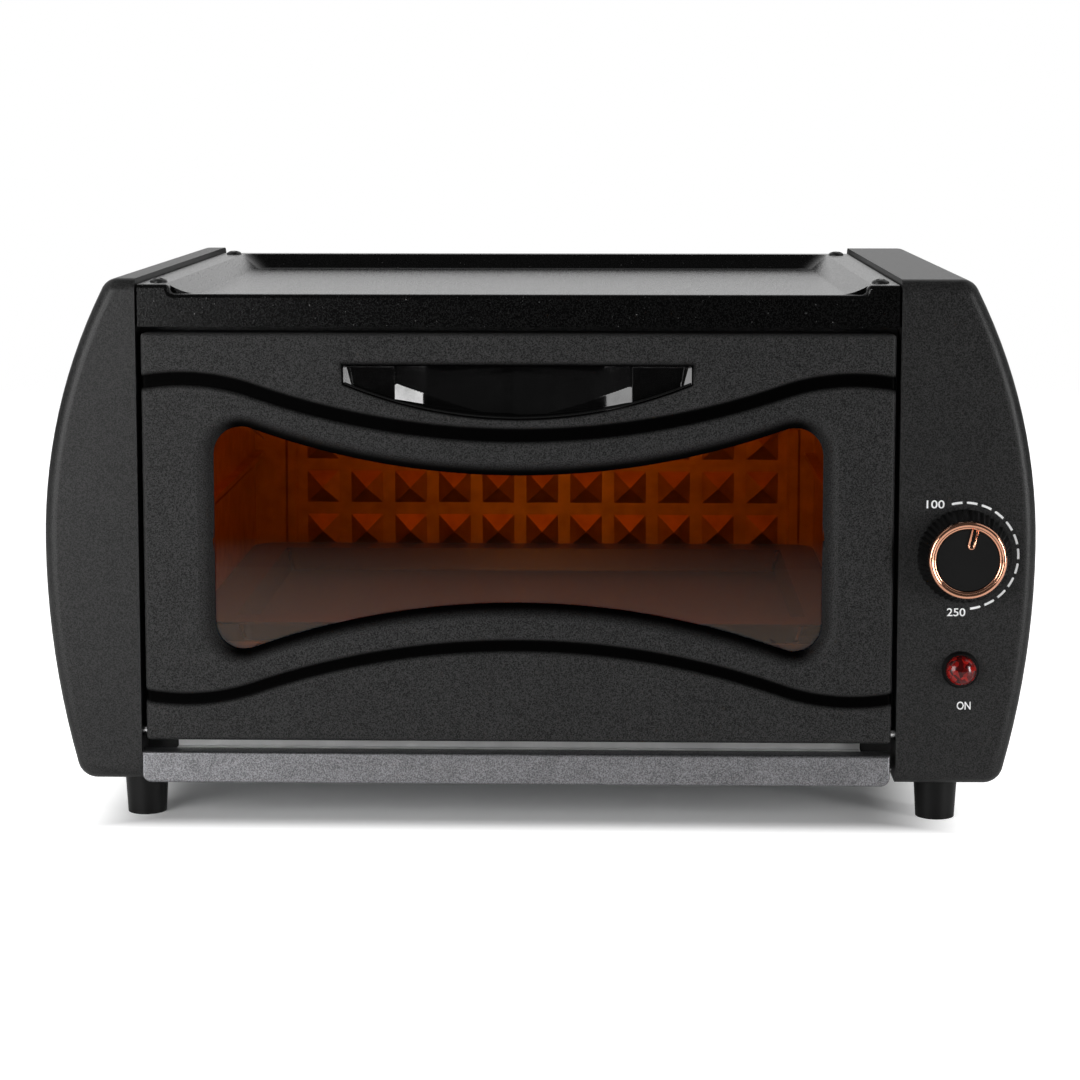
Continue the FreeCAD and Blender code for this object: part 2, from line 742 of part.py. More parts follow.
def chamber_wall(name, side):
    """A folded side wall: front flange, wall with two pressed runners, rear flange."""
    body = new_body(name)
    face = CHAMBER_LEFT if side < 0 else CHAMBER_RIGHT
    back = face + side * d.sheet
    tip = LEFT - d.flange_lap if side < 0 else KNOB_X - d.thermostat_width / 2 - d.flange_gap
    rear_tip = face + side * d.rear_flange
    rear = REAR_Y - d.rear_sheet
    plan = sketch(body, f"{name}_plan", "XY_Plane", BASE_TOP)
    outline(plan, (tip, FLANGE_Y), (tip, FLANGE_Y + d.sheet), (back, FLANGE_Y + d.sheet),
            (back, rear - d.sheet), (rear_tip, rear - d.sheet), (rear_tip, rear),
            (face, rear), (face, FLANGE_Y))
    pad(body, plan, COVER_BOTTOM - BASE_TOP)
    for level, top in (("lower", TRAY_TOP - d.tray_sheet - d.tray_rest_gap),
                       ("upper", TRAY_TOP + d.upper_runner_rise)):
        end_view = front_sketch(body, f"{name}_{level}_runner", TRAY_FRONT)
        reach = face - side * d.runner_reach
        outline(end_view, (face, top), (reach, top), (reach, top - d.runner_height / 2),
                (face, top - 2 * d.runner_height))
        pad(body, end_view, TRAY_BACK - TRAY_FRONT, back=True)
    holes = wall_holes(body, name, back if side > 0 else face)
    pocket(body, holes, d.sheet)
    screws = front_sketch(body, f"{name}_screw_holes", rear - d.sheet)
    for place_name, x, z in rear_screw_places():
        if place_name.startswith("left" if side < 0 else "right"):
            ring(screws, x, z, d.screw_dia / 2 + d.pin_clearance)
    pocket(body, screws, d.sheet)
    keep(body, name)


def back_wall():
    """Chamber rear wall, embossed with rows of small pyramids."""
    body = new_body("chamber_back_wall")
    plate = front_sketch(body, "back_plate", CHAMBER_BACK)
    rectangle(plate, CHAMBER_LEFT, BASE_TOP, CHAMBER_RIGHT, CEILING)
    pad(body, plate, d.sheet, back=True)
    middle = (CHAMBER_LEFT + CHAMBER_RIGHT) / 2 + d.stud_shift
    for side in (-1, 1):
        label = "left" if side < 0 else "right"
        centre = middle + side * d.bead_span / 2
        low = BASE_TOP + d.bead_margin
        high = CEILING - d.bead_margin
        half = d.bead_width / 2
        root_line = front_sketch(body, f"{label}_bead_foot", CHAMBER_BACK)
        rectangle(root_line, centre - half, low, centre + half, high)
        half = half - d.bead_height
        crest = front_sketch(body, f"{label}_bead_crest", CHAMBER_BACK - d.bead_height)
        rectangle(crest, centre - half, low + d.bead_height, centre + half, high - d.bead_height)
        loft(body, "AdditiveLoft", root_line, crest)
    columns = whole((CHAMBER_RIGHT - CHAMBER_LEFT - 2 * d.stud_margin) / d.stud_pitch)
    levels = whole((CEILING - BOTTOM - d.stud_bottom) / d.stud_pitch)
    field = (columns - 1) * d.stud_pitch
    first_x = middle - field / 2 - d.stud_size / 2
    first_z = BOTTOM + d.stud_bottom
    foot = front_sketch(body, "stud_foot", CHAMBER_BACK)
    rectangle(foot, first_x, first_z, first_x + d.stud_size, first_z + d.stud_size)
    tip = front_sketch(body, "stud_tip_outline", CHAMBER_BACK - d.stud_height)
    shrink = (d.stud_size - d.stud_tip) / 2
    rectangle(tip, first_x + shrink, first_z + shrink,
              first_x + d.stud_size - shrink, first_z + d.stud_size - shrink)
    stud = loft(body, "AdditiveLoft", foot, tip)
    doc.recompute()
    rows = body.newObject("PartDesign::LinearPattern", "stud_field")
    rows.Originals = [stud]
    rows.Direction = (foot, ["H_Axis"])
    rows.Mode = "Spacing"
    bind(rows, "Offset", d.stud_pitch)
    bind(rows, "Occurrences", columns)
    rows.Direction2 = (foot, ["V_Axis"])
    rows.Mode2 = "Spacing"
    bind(rows, "Offset2", d.stud_pitch)
    bind(rows, "Occurrences2", levels)
    body.Tip = rows
    keep(body, "chamber_back_wall")


def ceiling():
    body = new_body("chamber_ceiling")
    view = sketch(body, "ceiling_side", "YZ_Plane", CHAMBER_LEFT)
    front = FLANGE_Y + d.sheet
    lip = d.ceiling_lip
    lip_top = COVER_BOTTOM - d.fit_gap - d.sheet
    outline(view, (front, CEILING), (CHAMBER_BACK, CEILING), (CHAMBER_BACK, CEILING + lip),
            (CHAMBER_BACK - d.sheet, CEILING + lip), (CHAMBER_BACK - d.sheet, CEILING + d.sheet),
            (front + d.sheet, CEILING + d.sheet), (front + d.sheet, lip_top), (front, lip_top))
    pad(body, view, CHAMBER_RIGHT - CHAMBER_LEFT)
    keep(body, "chamber_ceiling")


def rails():
    """Folded rails that close the chassis above and below the door opening."""
    top = new_body("front_top_rail")
    lap = 3 * d.fit_gap + 3 * d.sheet
    view = sketch(top, "top_rail_side", "YZ_Plane", CHAMBER_LEFT - lap)
    low = CEILING - 2 * d.sheet
    high = COVER_BOTTOM - d.fit_gap
    reach = FLANGE_Y + d.rail_flange
    outline(view, (RAIL_Y, low), (FLANGE_Y, low), (FLANGE_Y, high - d.sheet), (reach, high - d.sheet),
            (reach, high), (RAIL_Y, high))
    pad(top, view, CHAMBER_RIGHT - CHAMBER_LEFT + 2 * lap)
    # the folded top flange stops short of the chamber walls' flanges
    for name, x in (("left", CHAMBER_LEFT - lap), ("right", CHAMBER_RIGHT - d.fit_gap)):
        clip = sketch(top, f"top_rail_{name}_clip", "XY_Plane", high)
        rectangle(clip, x, FLANGE_Y, x + lap + d.fit_gap, reach)
        pocket(top, clip, 2 * d.sheet)
    keep(top, "front_top_rail")

    sill = new_body("front_sill")
    nose = d.door_back_gap * 2
    view = sketch(sill, "sill_side", "YZ_Plane", CHAMBER_LEFT - lap)
    shelf = BASE_TOP + d.pan_height + 2 * d.pan_gap + d.sheet
    drop = 2 * d.sheet
    outline(view, (RAIL_Y - nose, shelf - drop), (RAIL_Y - nose + d.sheet, shelf - drop),
            (RAIL_Y - nose + d.sheet, shelf - d.sheet), (FLANGE_Y, shelf - d.sheet),
            (FLANGE_Y, HINGE_Z + d.hinge_rise), (RAIL_Y, HINGE_Z + d.hinge_rise),
            (RAIL_Y, shelf), (RAIL_Y - nose, shelf))
    pad(sill, view, CHAMBER_RIGHT - CHAMBER_LEFT + 2 * lap)
    keep(sill, "front_sill")


def vent_row(body, drawn, low, thick):
    """A centred row of slots at even pitch, cut through the sheet the sketch lies on."""
    first = DOOR_MID - (d.vent_count - 1) * d.vent_pitch / 2 - d.vent_slot / 2
    rectangle(drawn, first, low, first + d.vent_slot, low + d.vent_length)
    slot = pocket(body, drawn, thick)
    doc.recompute()
    row = body.newObject("PartDesign::LinearPattern", f"{drawn.Name}_row")
    row.Originals = [slot]
    row.Direction = (drawn, ["H_Axis"])
    row.Mode = "Spacing"
    bind(row, "Offset", d.vent_pitch)
    bind(row, "Occurrences", d.vent_count)
    body.Tip = row


def rear_screw_places():
    columns = (("left", CHAMBER_LEFT - d.rear_screw_inset), ("right", CHAMBER_RIGHT + d.rear_screw_inset))
    levels = (("low", BOTTOM + d.rear_screw_rise), ("high", COVER_BOTTOM - d.rear_screw_rise))
    for side, x in columns:
        for level, z in levels:
            yield f"{side}_{level}", x, z


def rear_panel():
    body = new_body("rear_panel")
    plate = front_sketch(body, "rear_plate", REAR_Y - d.rear_sheet)
    rectangle(plate, LEFT + d.fit_gap, BASE_TOP, RIGHT - d.fit_gap, COVER_BOTTOM - d.fit_gap)
    pad(body, plate, d.rear_sheet, back=True)
    holes = front_sketch(body, "rear_screw_holes", REAR_Y - d.rear_sheet)
    for _, x, z in rear_screw_places():
        ring(holes, x, z, d.screw_dia / 2 + d.pin_clearance)
    pocket(body, holes, d.rear_sheet)
    for level, z in (("low", BOTTOM + d.vent_length), ("high", CEILING - 2 * d.vent_length)):
        slots = front_sketch(body, f"rear_vents_{level}", REAR_Y - d.rear_sheet)
        vent_row(body, slots, z, d.rear_sheet)
    keep(body, "rear_panel")
    group("rear_panel_screws", [pan_screw(f"rear_screw_{name}", x, REAR_Y, z, "-y")
                                for name, x, z in rear_screw_places()])


def foot_places():
    for side in ("left", "right"):
        for end, y in (("front", FRONT + d.foot_inset), ("rear", BACK - d.foot_inset)):
            x = d.over_width / 2 - d.foot_side_inset
            yield f"{end}_{side}", -x if side == "left" else x, y


def base_plate():
    body = new_body("base_plate")
    plate = sketch(body, "base_outline", "XY_Plane", BOTTOM + d.panel_wall)
    right = d.over_width / 2 - d.base_side_inset
    left = -right
    rear = BACK - d.panel_lip - d.fit_gap
    narrow_left = LEFT + d.fit_gap
    narrow_right = RIGHT - d.fit_gap
    front = FRONT + d.base_front
    outline(plate, (left, front), (right, front), (right, rear), (narrow_right, rear),
            (narrow_right, REAR_Y), (narrow_left, REAR_Y), (narrow_left, rear), (left, rear))
    pad(body, plate, d.base_sheet)
    holes = sketch(body, "base_foot_holes", "XY_Plane", BASE_TOP)
    for _, x, y in foot_places():
        ring(holes, x, y, d.screw_dia / 2 + d.pin_clearance)
    pocket(body, holes, d.base_sheet)
    slots = sketch(body, "base_vents", "XY_Plane", BASE_TOP)
    vent_row(body, slots, REAR_Y - d.rear_sheet - 2 * d.vent_length, d.base_sheet)
    keep(body, "base_plate")


def feet():
    screws = []
    for name, x, y in foot_places():
        foot = rod(f"{name}_foot_solid", x, y, as_size(0), d.foot_bottom_dia / 2, d.foot_height, "z",
                   d.foot_top_dia / 2)
        depth = d.foot_height - d.screw_length
        recess = rod(f"{name}_foot_recess", x, y, as_size(0), d.screw_head_dia / 2 + d.fit_gap,
                     depth, "z")
        bore = rod(f"{name}_foot_bore", x, y, as_size(0), d.screw_dia / 2 + d.pin_clearance,
                   2 * d.foot_height, "z")
        keep(cut(f"{name}_foot", foot, fuse(f"{name}_foot_hollow", recess, bore)), f"{name}_foot")
        head = rod(f"{name}_foot_screw_head", x, y, depth - d.screw_head_height,
                   d.screw_head_dia / 2, d.screw_head_height, "z")
        shank = rod(f"{name}_foot_screw_shank", x, y, depth, d.screw_dia / 2,
                    d.screw_length + d.panel_wall + d.base_sheet + d.nut_height, "z")
        screws.append(fuse(f"{name}_foot_screw", head, shank))
    group("foot_screws", screws)


# ---------------------------------------------------------------- door

def hourglass(drawn, grow):
    """The waisted window: bowed long edges, straight ends, round corners, widened by grow."""
    half = WINDOW_HALF + grow
    waist = WAIST + grow
    arc = WINDOW_ARC - grow
    corner = d.window_corner_radius + grow
    centre_rise = WAIST + CORNER_RISE
    share = arc / (arc + corner)
    meet_x = CORNER_X * share
    meet_rise = (waist + arc) - (waist + arc - centre_rise) * share
    corners = []
    for up, side in ((-1, 1), (1, 1), (1, -1), (-1, -1)):
        on_side = (DOOR_MID + side * half, WINDOW_Z + up * centre_rise)
        on_arc = (DOOR_MID + side * meet_x, WINDOW_Z + up * meet_rise)
        if up * side < 0:
            corners.append(on_arc + (arc, -1))
            corners.append(on_side + (corner, 1))
        else:
            corners.append(on_side)
            corners.append(on_arc + (corner, 1))
    outline(drawn, *corners)


def wave(drawn, up, rise, width, half, grow):
    """A band of even width that dips over the middle of the door and crests near its edges."""
    crest = d.wave_crest_radius
    spread = DOOR_HALF - d.wave_crest_inset
    reach = width / 2 + grow
    span = (spread * spread + d.wave_crest_rise * d.wave_crest_rise) / (2 * d.wave_crest_rise)
    valley = span - crest
    fall = span - d.wave_crest_rise
    valley_z = rise + valley
    crest_z = valley_z - fall

    def at(x, z):
        return (DOOR_MID + x, WINDOW_Z + up * z)

    def edge(offset, direction):
        low_valley = valley + offset
        low_crest = crest - offset
        meet_x = spread * low_valley / span
        meet_z = valley_z - fall * low_valley / span
        out = half - spread
        end_z = crest_z + root(low_crest * low_crest - out * out)
        points = [at(-1 * direction * half, end_z),
                  at(-1 * direction * meet_x, meet_z) + (low_crest, -1 * direction * up),
                  at(direction * meet_x, meet_z) + (low_valley, direction * up),
                  at(direction * half, end_z) + (low_crest, -1 * direction * up)]
        return points

    lower = edge(reach, 1)
    upper = edge(-1 * reach, -1)
    outline(drawn, *lower, *upper)


def boat(drawn, middle, top, half, drop, radius):
    """The handle's outline: straight top, short upright ends, bowed bottom."""
    bottom = top - drop
    end = bottom + radius - root(radius * radius - half * half)
    outline(drawn, (middle - half, top), (middle - half, end),
            (middle + half, end, radius, 1), (middle + half, top))


def door_outer_panel():
    body = new_body("door_outer_panel")
    face = front_sketch(body, "door_face", FRONT)
    rectangle(face, DOOR_MID - DOOR_HALF, DOOR_BOTTOM, DOOR_MID + DOOR_HALF, DOOR_TOP)
    pad(body, face, d.door_thickness, back=True)
    fillet(body, d.door_corner_radius, lambda c, e: near(e.YLength, d.door_thickness))
    fillet(body, d.door_skin, lambda c, e: near(c.y, FRONT))
    skin = d.door_skin
    inside = front_sketch(body, "door_inside", DOOR_BACK)
    rectangle(inside, DOOR_MID - DOOR_HALF + skin, DOOR_BOTTOM + skin,
              DOOR_MID + DOOR_HALF - skin, DOOR_TOP - skin)
    pocket(body, inside, d.door_thickness - skin, ahead=True)
    boss = front_sketch(body, "window_boss", BOSS_BACK)
    hourglass(boss, d.window_border + skin)
    pad(body, boss, d.window_border_depth - skin / 2)
    waves = (("upper", 1, UPPER_WAVE - WINDOW_Z, d.upper_wave_width),
             ("lower", -1, WINDOW_Z - LOWER_WAVE, d.lower_wave_width))
    for name, up, rise, width in waves:
        ridge = front_sketch(body, f"{name}_wave_ridge", FRONT + d.wave_depth + skin)
        wave(ridge, up, rise, width, DOOR_HALF - skin / 2, skin)
        pad(body, ridge, d.wave_depth + skin / 2)
    for name, up, rise, width in waves:
        groove = front_sketch(body, f"{name}_wave_groove", FRONT)
        wave(groove, up, rise, width, DOOR_HALF + skin, as_size(0))
        pocket(body, groove, d.wave_depth)
    wide = front_sketch(body, "window_wide", FRONT)
    hourglass(wide, d.window_border)
    sight = front_sketch(body, "window_sight", BOSS_BACK)
    hourglass(sight, as_size(0))
    loft(body, "SubtractiveLoft", wide, sight)
    mouth = front_sketch(body, "handle_mouth", FRONT)
    boat(mouth, DOOR_MID, HANDLE_TOP + d.pin_clearance, HANDLE_HALF + d.pin_clearance,
         d.handle_drop + 2 * d.pin_clearance, d.handle_arc_radius)
    pocket(body, mouth, d.door_thickness)
    pins = sketch(body, "door_pin_holes", "YZ_Plane", DOOR_MID - DOOR_HALF)
    ring(pins, HINGE_Y, HINGE_Z, d.hinge_pin_dia / 2 + d.pin_clearance)
    pocket(body, pins, 2 * DOOR_HALF, ahead=True)
    keep(body, "door_outer_panel")


def glass_reach():
    """Half width and half height of the glass pane, which overlaps the window all round."""
    return WINDOW_HALF + d.glass_overlap, WAIST + FLARE + d.glass_lap


def door_glass():
    half, high = glass_reach()
    pane = new_body("door_glass")
    face = front_sketch(pane, "glass_face", GLASS_FRONT)
    rectangle(face, DOOR_MID - half, WINDOW_Z - high, DOOR_MID + half, WINDOW_Z + high)
    pad(pane, face, d.glass_thick, back=True)
    fillet(pane, d.door_corner_radius, lambda c, e: near(e.YLength, d.glass_thick))
    keep(pane, "door_glass")

    seal = new_body("door_glass_seal")
    ring_face = front_sketch(seal, "seal_face", BOSS_BACK)
    hourglass(ring_face, d.window_border)
    pad(seal, ring_face, d.seal_thick, back=True)
    opening = front_sketch(seal, "seal_opening", BOSS_BACK)
    hourglass(opening, d.window_border / 4)
    pocket(seal, opening, d.seal_thick)
    keep(seal, "door_glass_seal")

    clips = []
    studs = []
    lap = d.glass_overlap / 2
    for up in (-1, 1):
        for side in (-1, 1):
            name = f"retainer_{'low' if up < 0 else 'high'}_{'left' if side < 0 else 'right'}"
            x0, x1 = sorted((DOOR_MID + side * (half - lap), DOOR_MID + side * (half + 2 * lap)),
                            key=lambda s: s.value)
            stud_x = DOOR_MID + side * (half + lap)
            z = WINDOW_Z + up * WAIST
            plate = box(f"{name}_plate", x0, GLASS_BACK, z - d.glass_overlap,
                        x1, GLASS_BACK + d.retainer_thick, z + d.glass_overlap)
            bore = rod(f"{name}_bore", stud_x, FRONT, z, d.screw_dia / 2 + d.pin_clearance,
                       d.door_thickness, "y")
            clips.append(cut(name, plate, bore))
            shank = rod(f"{name}_shank", stud_x, FRONT + d.door_skin, z, d.screw_dia / 2,
                        GLASS_BACK + d.retainer_thick - FRONT - d.door_skin, "y")
            nut = rod(f"{name}_nut", stud_x, GLASS_BACK + d.retainer_thick, z,
                      d.screw_head_dia / 2, d.screw_head_height / 2, "y")
            studs.append(fuse(f"{name}_stud", shank, nut))
    group("glass_retainers", clips)
    group("glass_retainer_studs", studs)


def door_inner_frame():
    """Sheet that closes the door pan from behind, open over the window."""
    body = new_body("door_inner_frame")
    gap = d.door_skin + d.pin_clearance
    plate = front_sketch(body, "frame_plate", DOOR_BACK)
    rectangle(plate, DOOR_MID - DOOR_HALF + gap, DOOR_BOTTOM + gap,
              DOOR_MID + DOOR_HALF - gap, DOOR_TOP - gap)
    pad(body, plate, d.sheet)
    fillet(body, d.door_corner_radius / 2, lambda c, e: near(e.YLength, d.sheet))
    _, high = glass_reach()
    view = front_sketch(body, "frame_window", DOOR_BACK)
    edge = d.glass_overlap / 2
    rectangle(view, DOOR_MID - WINDOW_HALF - edge, WINDOW_Z - high + edge,
              DOOR_MID + WINDOW_HALF + edge, WINDOW_Z + high - edge)
    pocket(body, view, d.sheet, ahead=True)
    hole = front_sketch(body, "frame_handle_hole", DOOR_BACK)
    boat(hole, DOOR_MID, HANDLE_TOP + d.pin_clearance, HANDLE_HALF + d.pin_clearance,
         d.handle_drop + 2 * d.pin_clearance, d.handle_arc_radius)
    pocket(body, hole, d.sheet, ahead=True)
    keep(body, "door_inner_frame")


def door_handle():
    """Moulded grip pocket let into the door; its floor falls back towards the middle."""
    body = new_body("door_handle")
    face = front_sketch(body, "handle_face", FRONT)
    boat(face, DOOR_MID, HANDLE_TOP, HANDLE_HALF, d.handle_drop, d.handle_arc_radius)
    pad(body, face, d.handle_depth, back=True)
    wall = d.handle_wall
    mouth = front_sketch(body, "handle_opening", FRONT)
    boat(mouth, DOOR_MID, HANDLE_TOP - wall / 2, HANDLE_HALF - 2 * wall, d.handle_drop - 1.5 * wall,
         d.handle_arc_radius)
    floor = front_sketch(body, "handle_floor", FRONT + d.handle_depth - wall)
    boat(floor, DOOR_MID, HANDLE_TOP - wall, d.handle_grip_width / 2, d.handle_grip_drop,
         d.handle_arc_radius)
    loft(body, "SubtractiveLoft", mouth, floor)
    keep(body, "door_handle")


def hinges():
    """Blocks and pins on the door, brackets on the chassis, a closing spring round each pin."""
    radius = d.hinge_pin_dia / 2
    screws = []
    for name, side in (("left", -1), ("right", 1)):
        edge = DOOR_MID + side * DOOR_HALF
        inside = edge - side * d.door_skin
        deep = inside - side * 4 * d.hinge_pin_dia
        x0, x1 = sorted((inside, deep), key=lambda s: s.value)
        low = DOOR_BOTTOM + d.door_skin
        block = box(f"{name}_block", x0, FRONT + d.door_skin, low,
                    x1, HINGE_Y + 2 * radius, HINGE_Z + 2 * radius)
        bore = rod(f"{name}_block_bore", x0, HINGE_Y, HINGE_Z, radius + d.pin_clearance, x1 - x0, "x")
        keep(cut(f"{name}_hinge_block", block, bore), f"{name}_hinge_block")
        tip = edge + side * d.pin_reach
        p0, p1 = sorted((deep, tip), key=lambda s: s.value)
        shaft = rod(f"{name}_hinge_pin", p0, HINGE_Y, HINGE_Z, radius, p1 - p0, "x")
        keep(shaft, f"{name}_hinge_pin")

        inner = (LEFT if side < 0 else RIGHT) + side * (d.panel_wall + d.fit_gap)
        outer = inner + side * d.door_skin
        b0, b1 = sorted((inner, outer), key=lambda s: s.value)
        front = FRONT + d.panel_wall + d.fit_gap
        leaf = box(f"{name}_leaf", b0, front, HINGE_Z - 3 * radius, b1, FLANGE_Y, HINGE_Z + 5 * radius)
        reach = inner + side * d.bracket_reach
        f0, f1 = sorted((inner, reach), key=lambda s: s.value)
        ear = box(f"{name}_ear", f0, FLANGE_Y - d.door_skin, HINGE_Z - 3 * radius,
                  f1, FLANGE_Y, HINGE_Z + 5 * radius)
        hole = rod(f"{name}_leaf_hole", b0, HINGE_Y, HINGE_Z, radius + d.pin_clearance, b1 - b0, "x")
        screw_x = inner + side * d.rivet_inset
        screw_holes = []
        for level, z in (("low", HINGE_Z - radius / 2), ("high", HINGE_Z + 3.5 * radius)):
            screw_holes.append(rod(f"{name}_{level}_bracket_hole", screw_x,
                                   FLANGE_Y - 2 * d.door_skin, z,
                                   d.pin_clearance + d.hinge_pin_dia / 3, 4 * d.door_skin, "y"))
            screws.append(rod(f"{name}_{level}_bracket_rivet", screw_x, FLANGE_Y - d.door_skin, z,
                              d.hinge_pin_dia / 3, d.door_skin, "y"))
        bracket = cut(f"{name}_hinge_bracket", fuse(f"{name}_bracket_solid", leaf, ear),
                      fuse(f"{name}_bracket_holes", hole, *screw_holes))
        keep(bracket, f"{name}_hinge_bracket")
    group("hinge_bracket_rivets", screws)


# ---------------------------------------------------------------- trays

def baking_tray():
    body = new_body("baking_tray")
    x0 = CHAMBER_LEFT + d.tray_side_gap
    x1 = CHAMBER_RIGHT - d.tray_side_gap
    y0 = TRAY_FRONT
    y1 = TRAY_BACK
    rim = sketch(body, "tray_rim_outline", "XY_Plane", TRAY_TOP)
    rectangle(rim, x0, y0, x1, y1)
    pad(body, rim, d.tray_sheet, back=True)
    fillet(body, d.tray_corner_radius, lambda c, e: near(e.ZLength, d.tray_sheet))
    well = sketch(body, "tray_well_outline", "XY_Plane", TRAY_TOP)
    edge = d.tray_rim
    rectangle(well, x0 + edge, y0 + edge, x1 - edge, y1 - edge)
    outer = pad(body, well, d.tray_well, back=True)
    bind(outer, "TaperAngle", -1 * d.tray_taper)
    fillet(body, d.tray_corner_radius / 2, lambda c, e: near(e.ZMax, TRAY_TOP - d.tray_sheet, 0.5)
           and e.ZLength > d.tray_well.value / 2)
    inside = sketch(body, "tray_inside", "XY_Plane", TRAY_TOP)
    wall = edge + d.tray_sheet * 1.1
    rectangle(inside, x0 + wall, y0 + wall, x1 - wall, y1 - wall)
    hollow = pocket(body, inside, d.tray_well - d.tray_sheet)
    bind(hollow, "TaperAngle", -1 * d.tray_taper)
    raised = sketch(body, "tray_raised_panel", "XY_Plane", TRAY_TOP - d.tray_well + d.tray_sheet)
    inset = edge + d.tray_panel_inset
    rectangle(raised, x0 + inset, y0 + inset, x1 - inset, y1 - inset)
    pad(body, raised, d.tray_panel_height)
    keep(body, "baking_tray")


def crumb_tray():
    body = new_body("crumb_tray_pan")
    x0 = CHAMBER_LEFT + d.pan_gap
    x1 = CHAMBER_RIGHT - d.pan_gap
    y0 = FRONT + d.strip_depth - d.strip_proud
    y1 = CHAMBER_BACK - d.pan_back_gap
    low = BASE_TOP + d.pan_gap / 2
    plan = sketch(body, "pan_outline", "XY_Plane", low)
    rectangle(plan, x0, y0, x1, y1)
    pad(body, plan, d.pan_height)
    inside = sketch(body, "pan_inside", "XY_Plane", low + d.pan_height)
    wall = d.pan_sheet
    rectangle(inside, x0 + wall, y0 + wall, x1 - wall, y1 - wall)
    pocket(body, inside, d.pan_height - wall)
    keep(body, "crumb_tray_pan")

    strip = new_body("crumb_tray_front")
    face = front_sketch(strip, "strip_face", FRONT - d.strip_proud)
    z0 = BOTTOM - d.strip_drop
    rectangle(face, LEFT + d.strip_left_gap, z0, RIGHT - d.strip_right_gap, z0 + d.strip_height)
    pad(strip, face, d.strip_depth, back=True)
    fillet(strip, d.strip_corner_radius,
           lambda c, e: near(e.YLength, d.strip_depth) and c.z < BOTTOM.value)
    fillet(strip, d.strip_edge_radius, lambda c, e: near(c.y, FRONT - d.strip_proud))
    keep(strip, "crumb_tray_front")


# ---------------------------------------------------------------- heating elements

def elements():
    insulators = []
    terminals = []
    left = CHAMBER_LEFT - d.sheet
    right = CHAMBER_RIGHT + d.sheet
    for level, z in ELEMENT_LEVELS:
        for row, y in ELEMENT_ROWS:
            name = f"{level}_{row}"
            reach = d.insulator_length
            keep(rod(f"{name}_element", left - reach, y, z, d.element_dia / 2,
                     right - left + 2 * reach, "x"), f"{name}_element")
            for side, x, along in (("left", left - reach, 1), ("right", right, 1)):
                ring_solid = rod(f"{name}_{side}_bush", x, y, z, d.insulator_dia / 2, reach, "x")
                bore = rod(f"{name}_{side}_bush_bore", x, y, z,
                           d.element_dia / 2 + d.pin_clearance, reach, "x")
                insulators.append(cut(f"{name}_{side}_insulator", ring_solid, bore))
            for side, x in (("left", left - reach - d.terminal_length), ("right", right + reach)):
                terminals.append(box(f"{name}_{side}_tab", x, y - d.element_dia / 2, z - d.sheet / 2,
                                     x + d.terminal_length, y + d.element_dia / 2, z + d.sheet / 2))
    group("element_insulators", insulators)
    group("element_terminals", terminals)


# ---------------------------------------------------------------- controls

def thermostat():
    wall_back = FRONT + d.panel_wall
    case = box("thermostat_case", KNOB_X - d.thermostat_width / 2, wall_back,
               KNOB_Z - d.thermostat_height / 2,
               KNOB_X + d.thermostat_width / 2, wall_back + d.thermostat_depth,
               KNOB_Z + d.thermostat_height / 2)
    neck = rod("thermostat_neck", KNOB_X, FRONT - d.nut_height, KNOB_Z, d.neck_dia / 2,
               d.nut_height + d.panel_wall, "y")
    bore = rod("thermostat_bore", KNOB_X, FRONT - d.nut_height, KNOB_Z,
               d.shaft_dia / 2 + d.pin_clearance, d.thermostat_depth, "y")
    keep(cut("thermostat_body", fuse("thermostat_solid", case, neck), bore), "thermostat_body")
    hexagon = doc.addObject("Part::Prism", "nut_hexagon")
    hexagon.Polygon = 6
    hexagon.Placement = FreeCAD.Placement(V(), TURNS["y"])
    bind(hexagon, "Circumradius", d.nut_across / 2)
    bind(hexagon, "Height", d.nut_height - d.pin_clearance)
    place(hexagon, KNOB_X, FRONT - d.nut_height + d.pin_clearance, KNOB_Z)
    nut_bore = rod("nut_bore", KNOB_X, FRONT - d.nut_height, KNOB_Z,
                   d.neck_dia / 2 + d.pin_clearance, d.nut_height, "y")
    keep(cut("thermostat_nut", hexagon, nut_bore), "thermostat_nut")
    tip = FRONT - d.knob_proud + d.knob_cap_set_back + 4 * d.sheet
    end = FRONT + d.panel_wall + d.thermostat_depth - 8 * d.sheet
    keep(rod("thermostat_shaft", KNOB_X, tip, KNOB_Z, d.shaft_dia / 2, end - tip, "y"),
         "thermostat_shaft")


def fluted_form(name, back_radius, front_radius, back_y, front_y):
    """A fluted cone between two star outlines; a star suits no sketch, so its points are computed."""
    count = int(d.knob_flutes.value)
    rims = []
    for radius, y in ((back_radius, back_y), (front_radius, front_y)):
        points = []
        for step in range(2 * count):
            angle = math.pi * step / count
            here = radius.value - (d.flute_depth.value if step % 2 else 0.0)
            points.append(V(here * math.sin(angle), y.value, here * math.cos(angle)))
        rims.append(Part.makePolygon(points + points[:1]))
    made = doc.addObject("Part::Feature", name)
    made.Shape = Part.makeLoft(rims, True, True)
    bind(made, "Placement.Base.x", KNOB_X)
    bind(made, "Placement.Base.z", KNOB_Z)
    return made


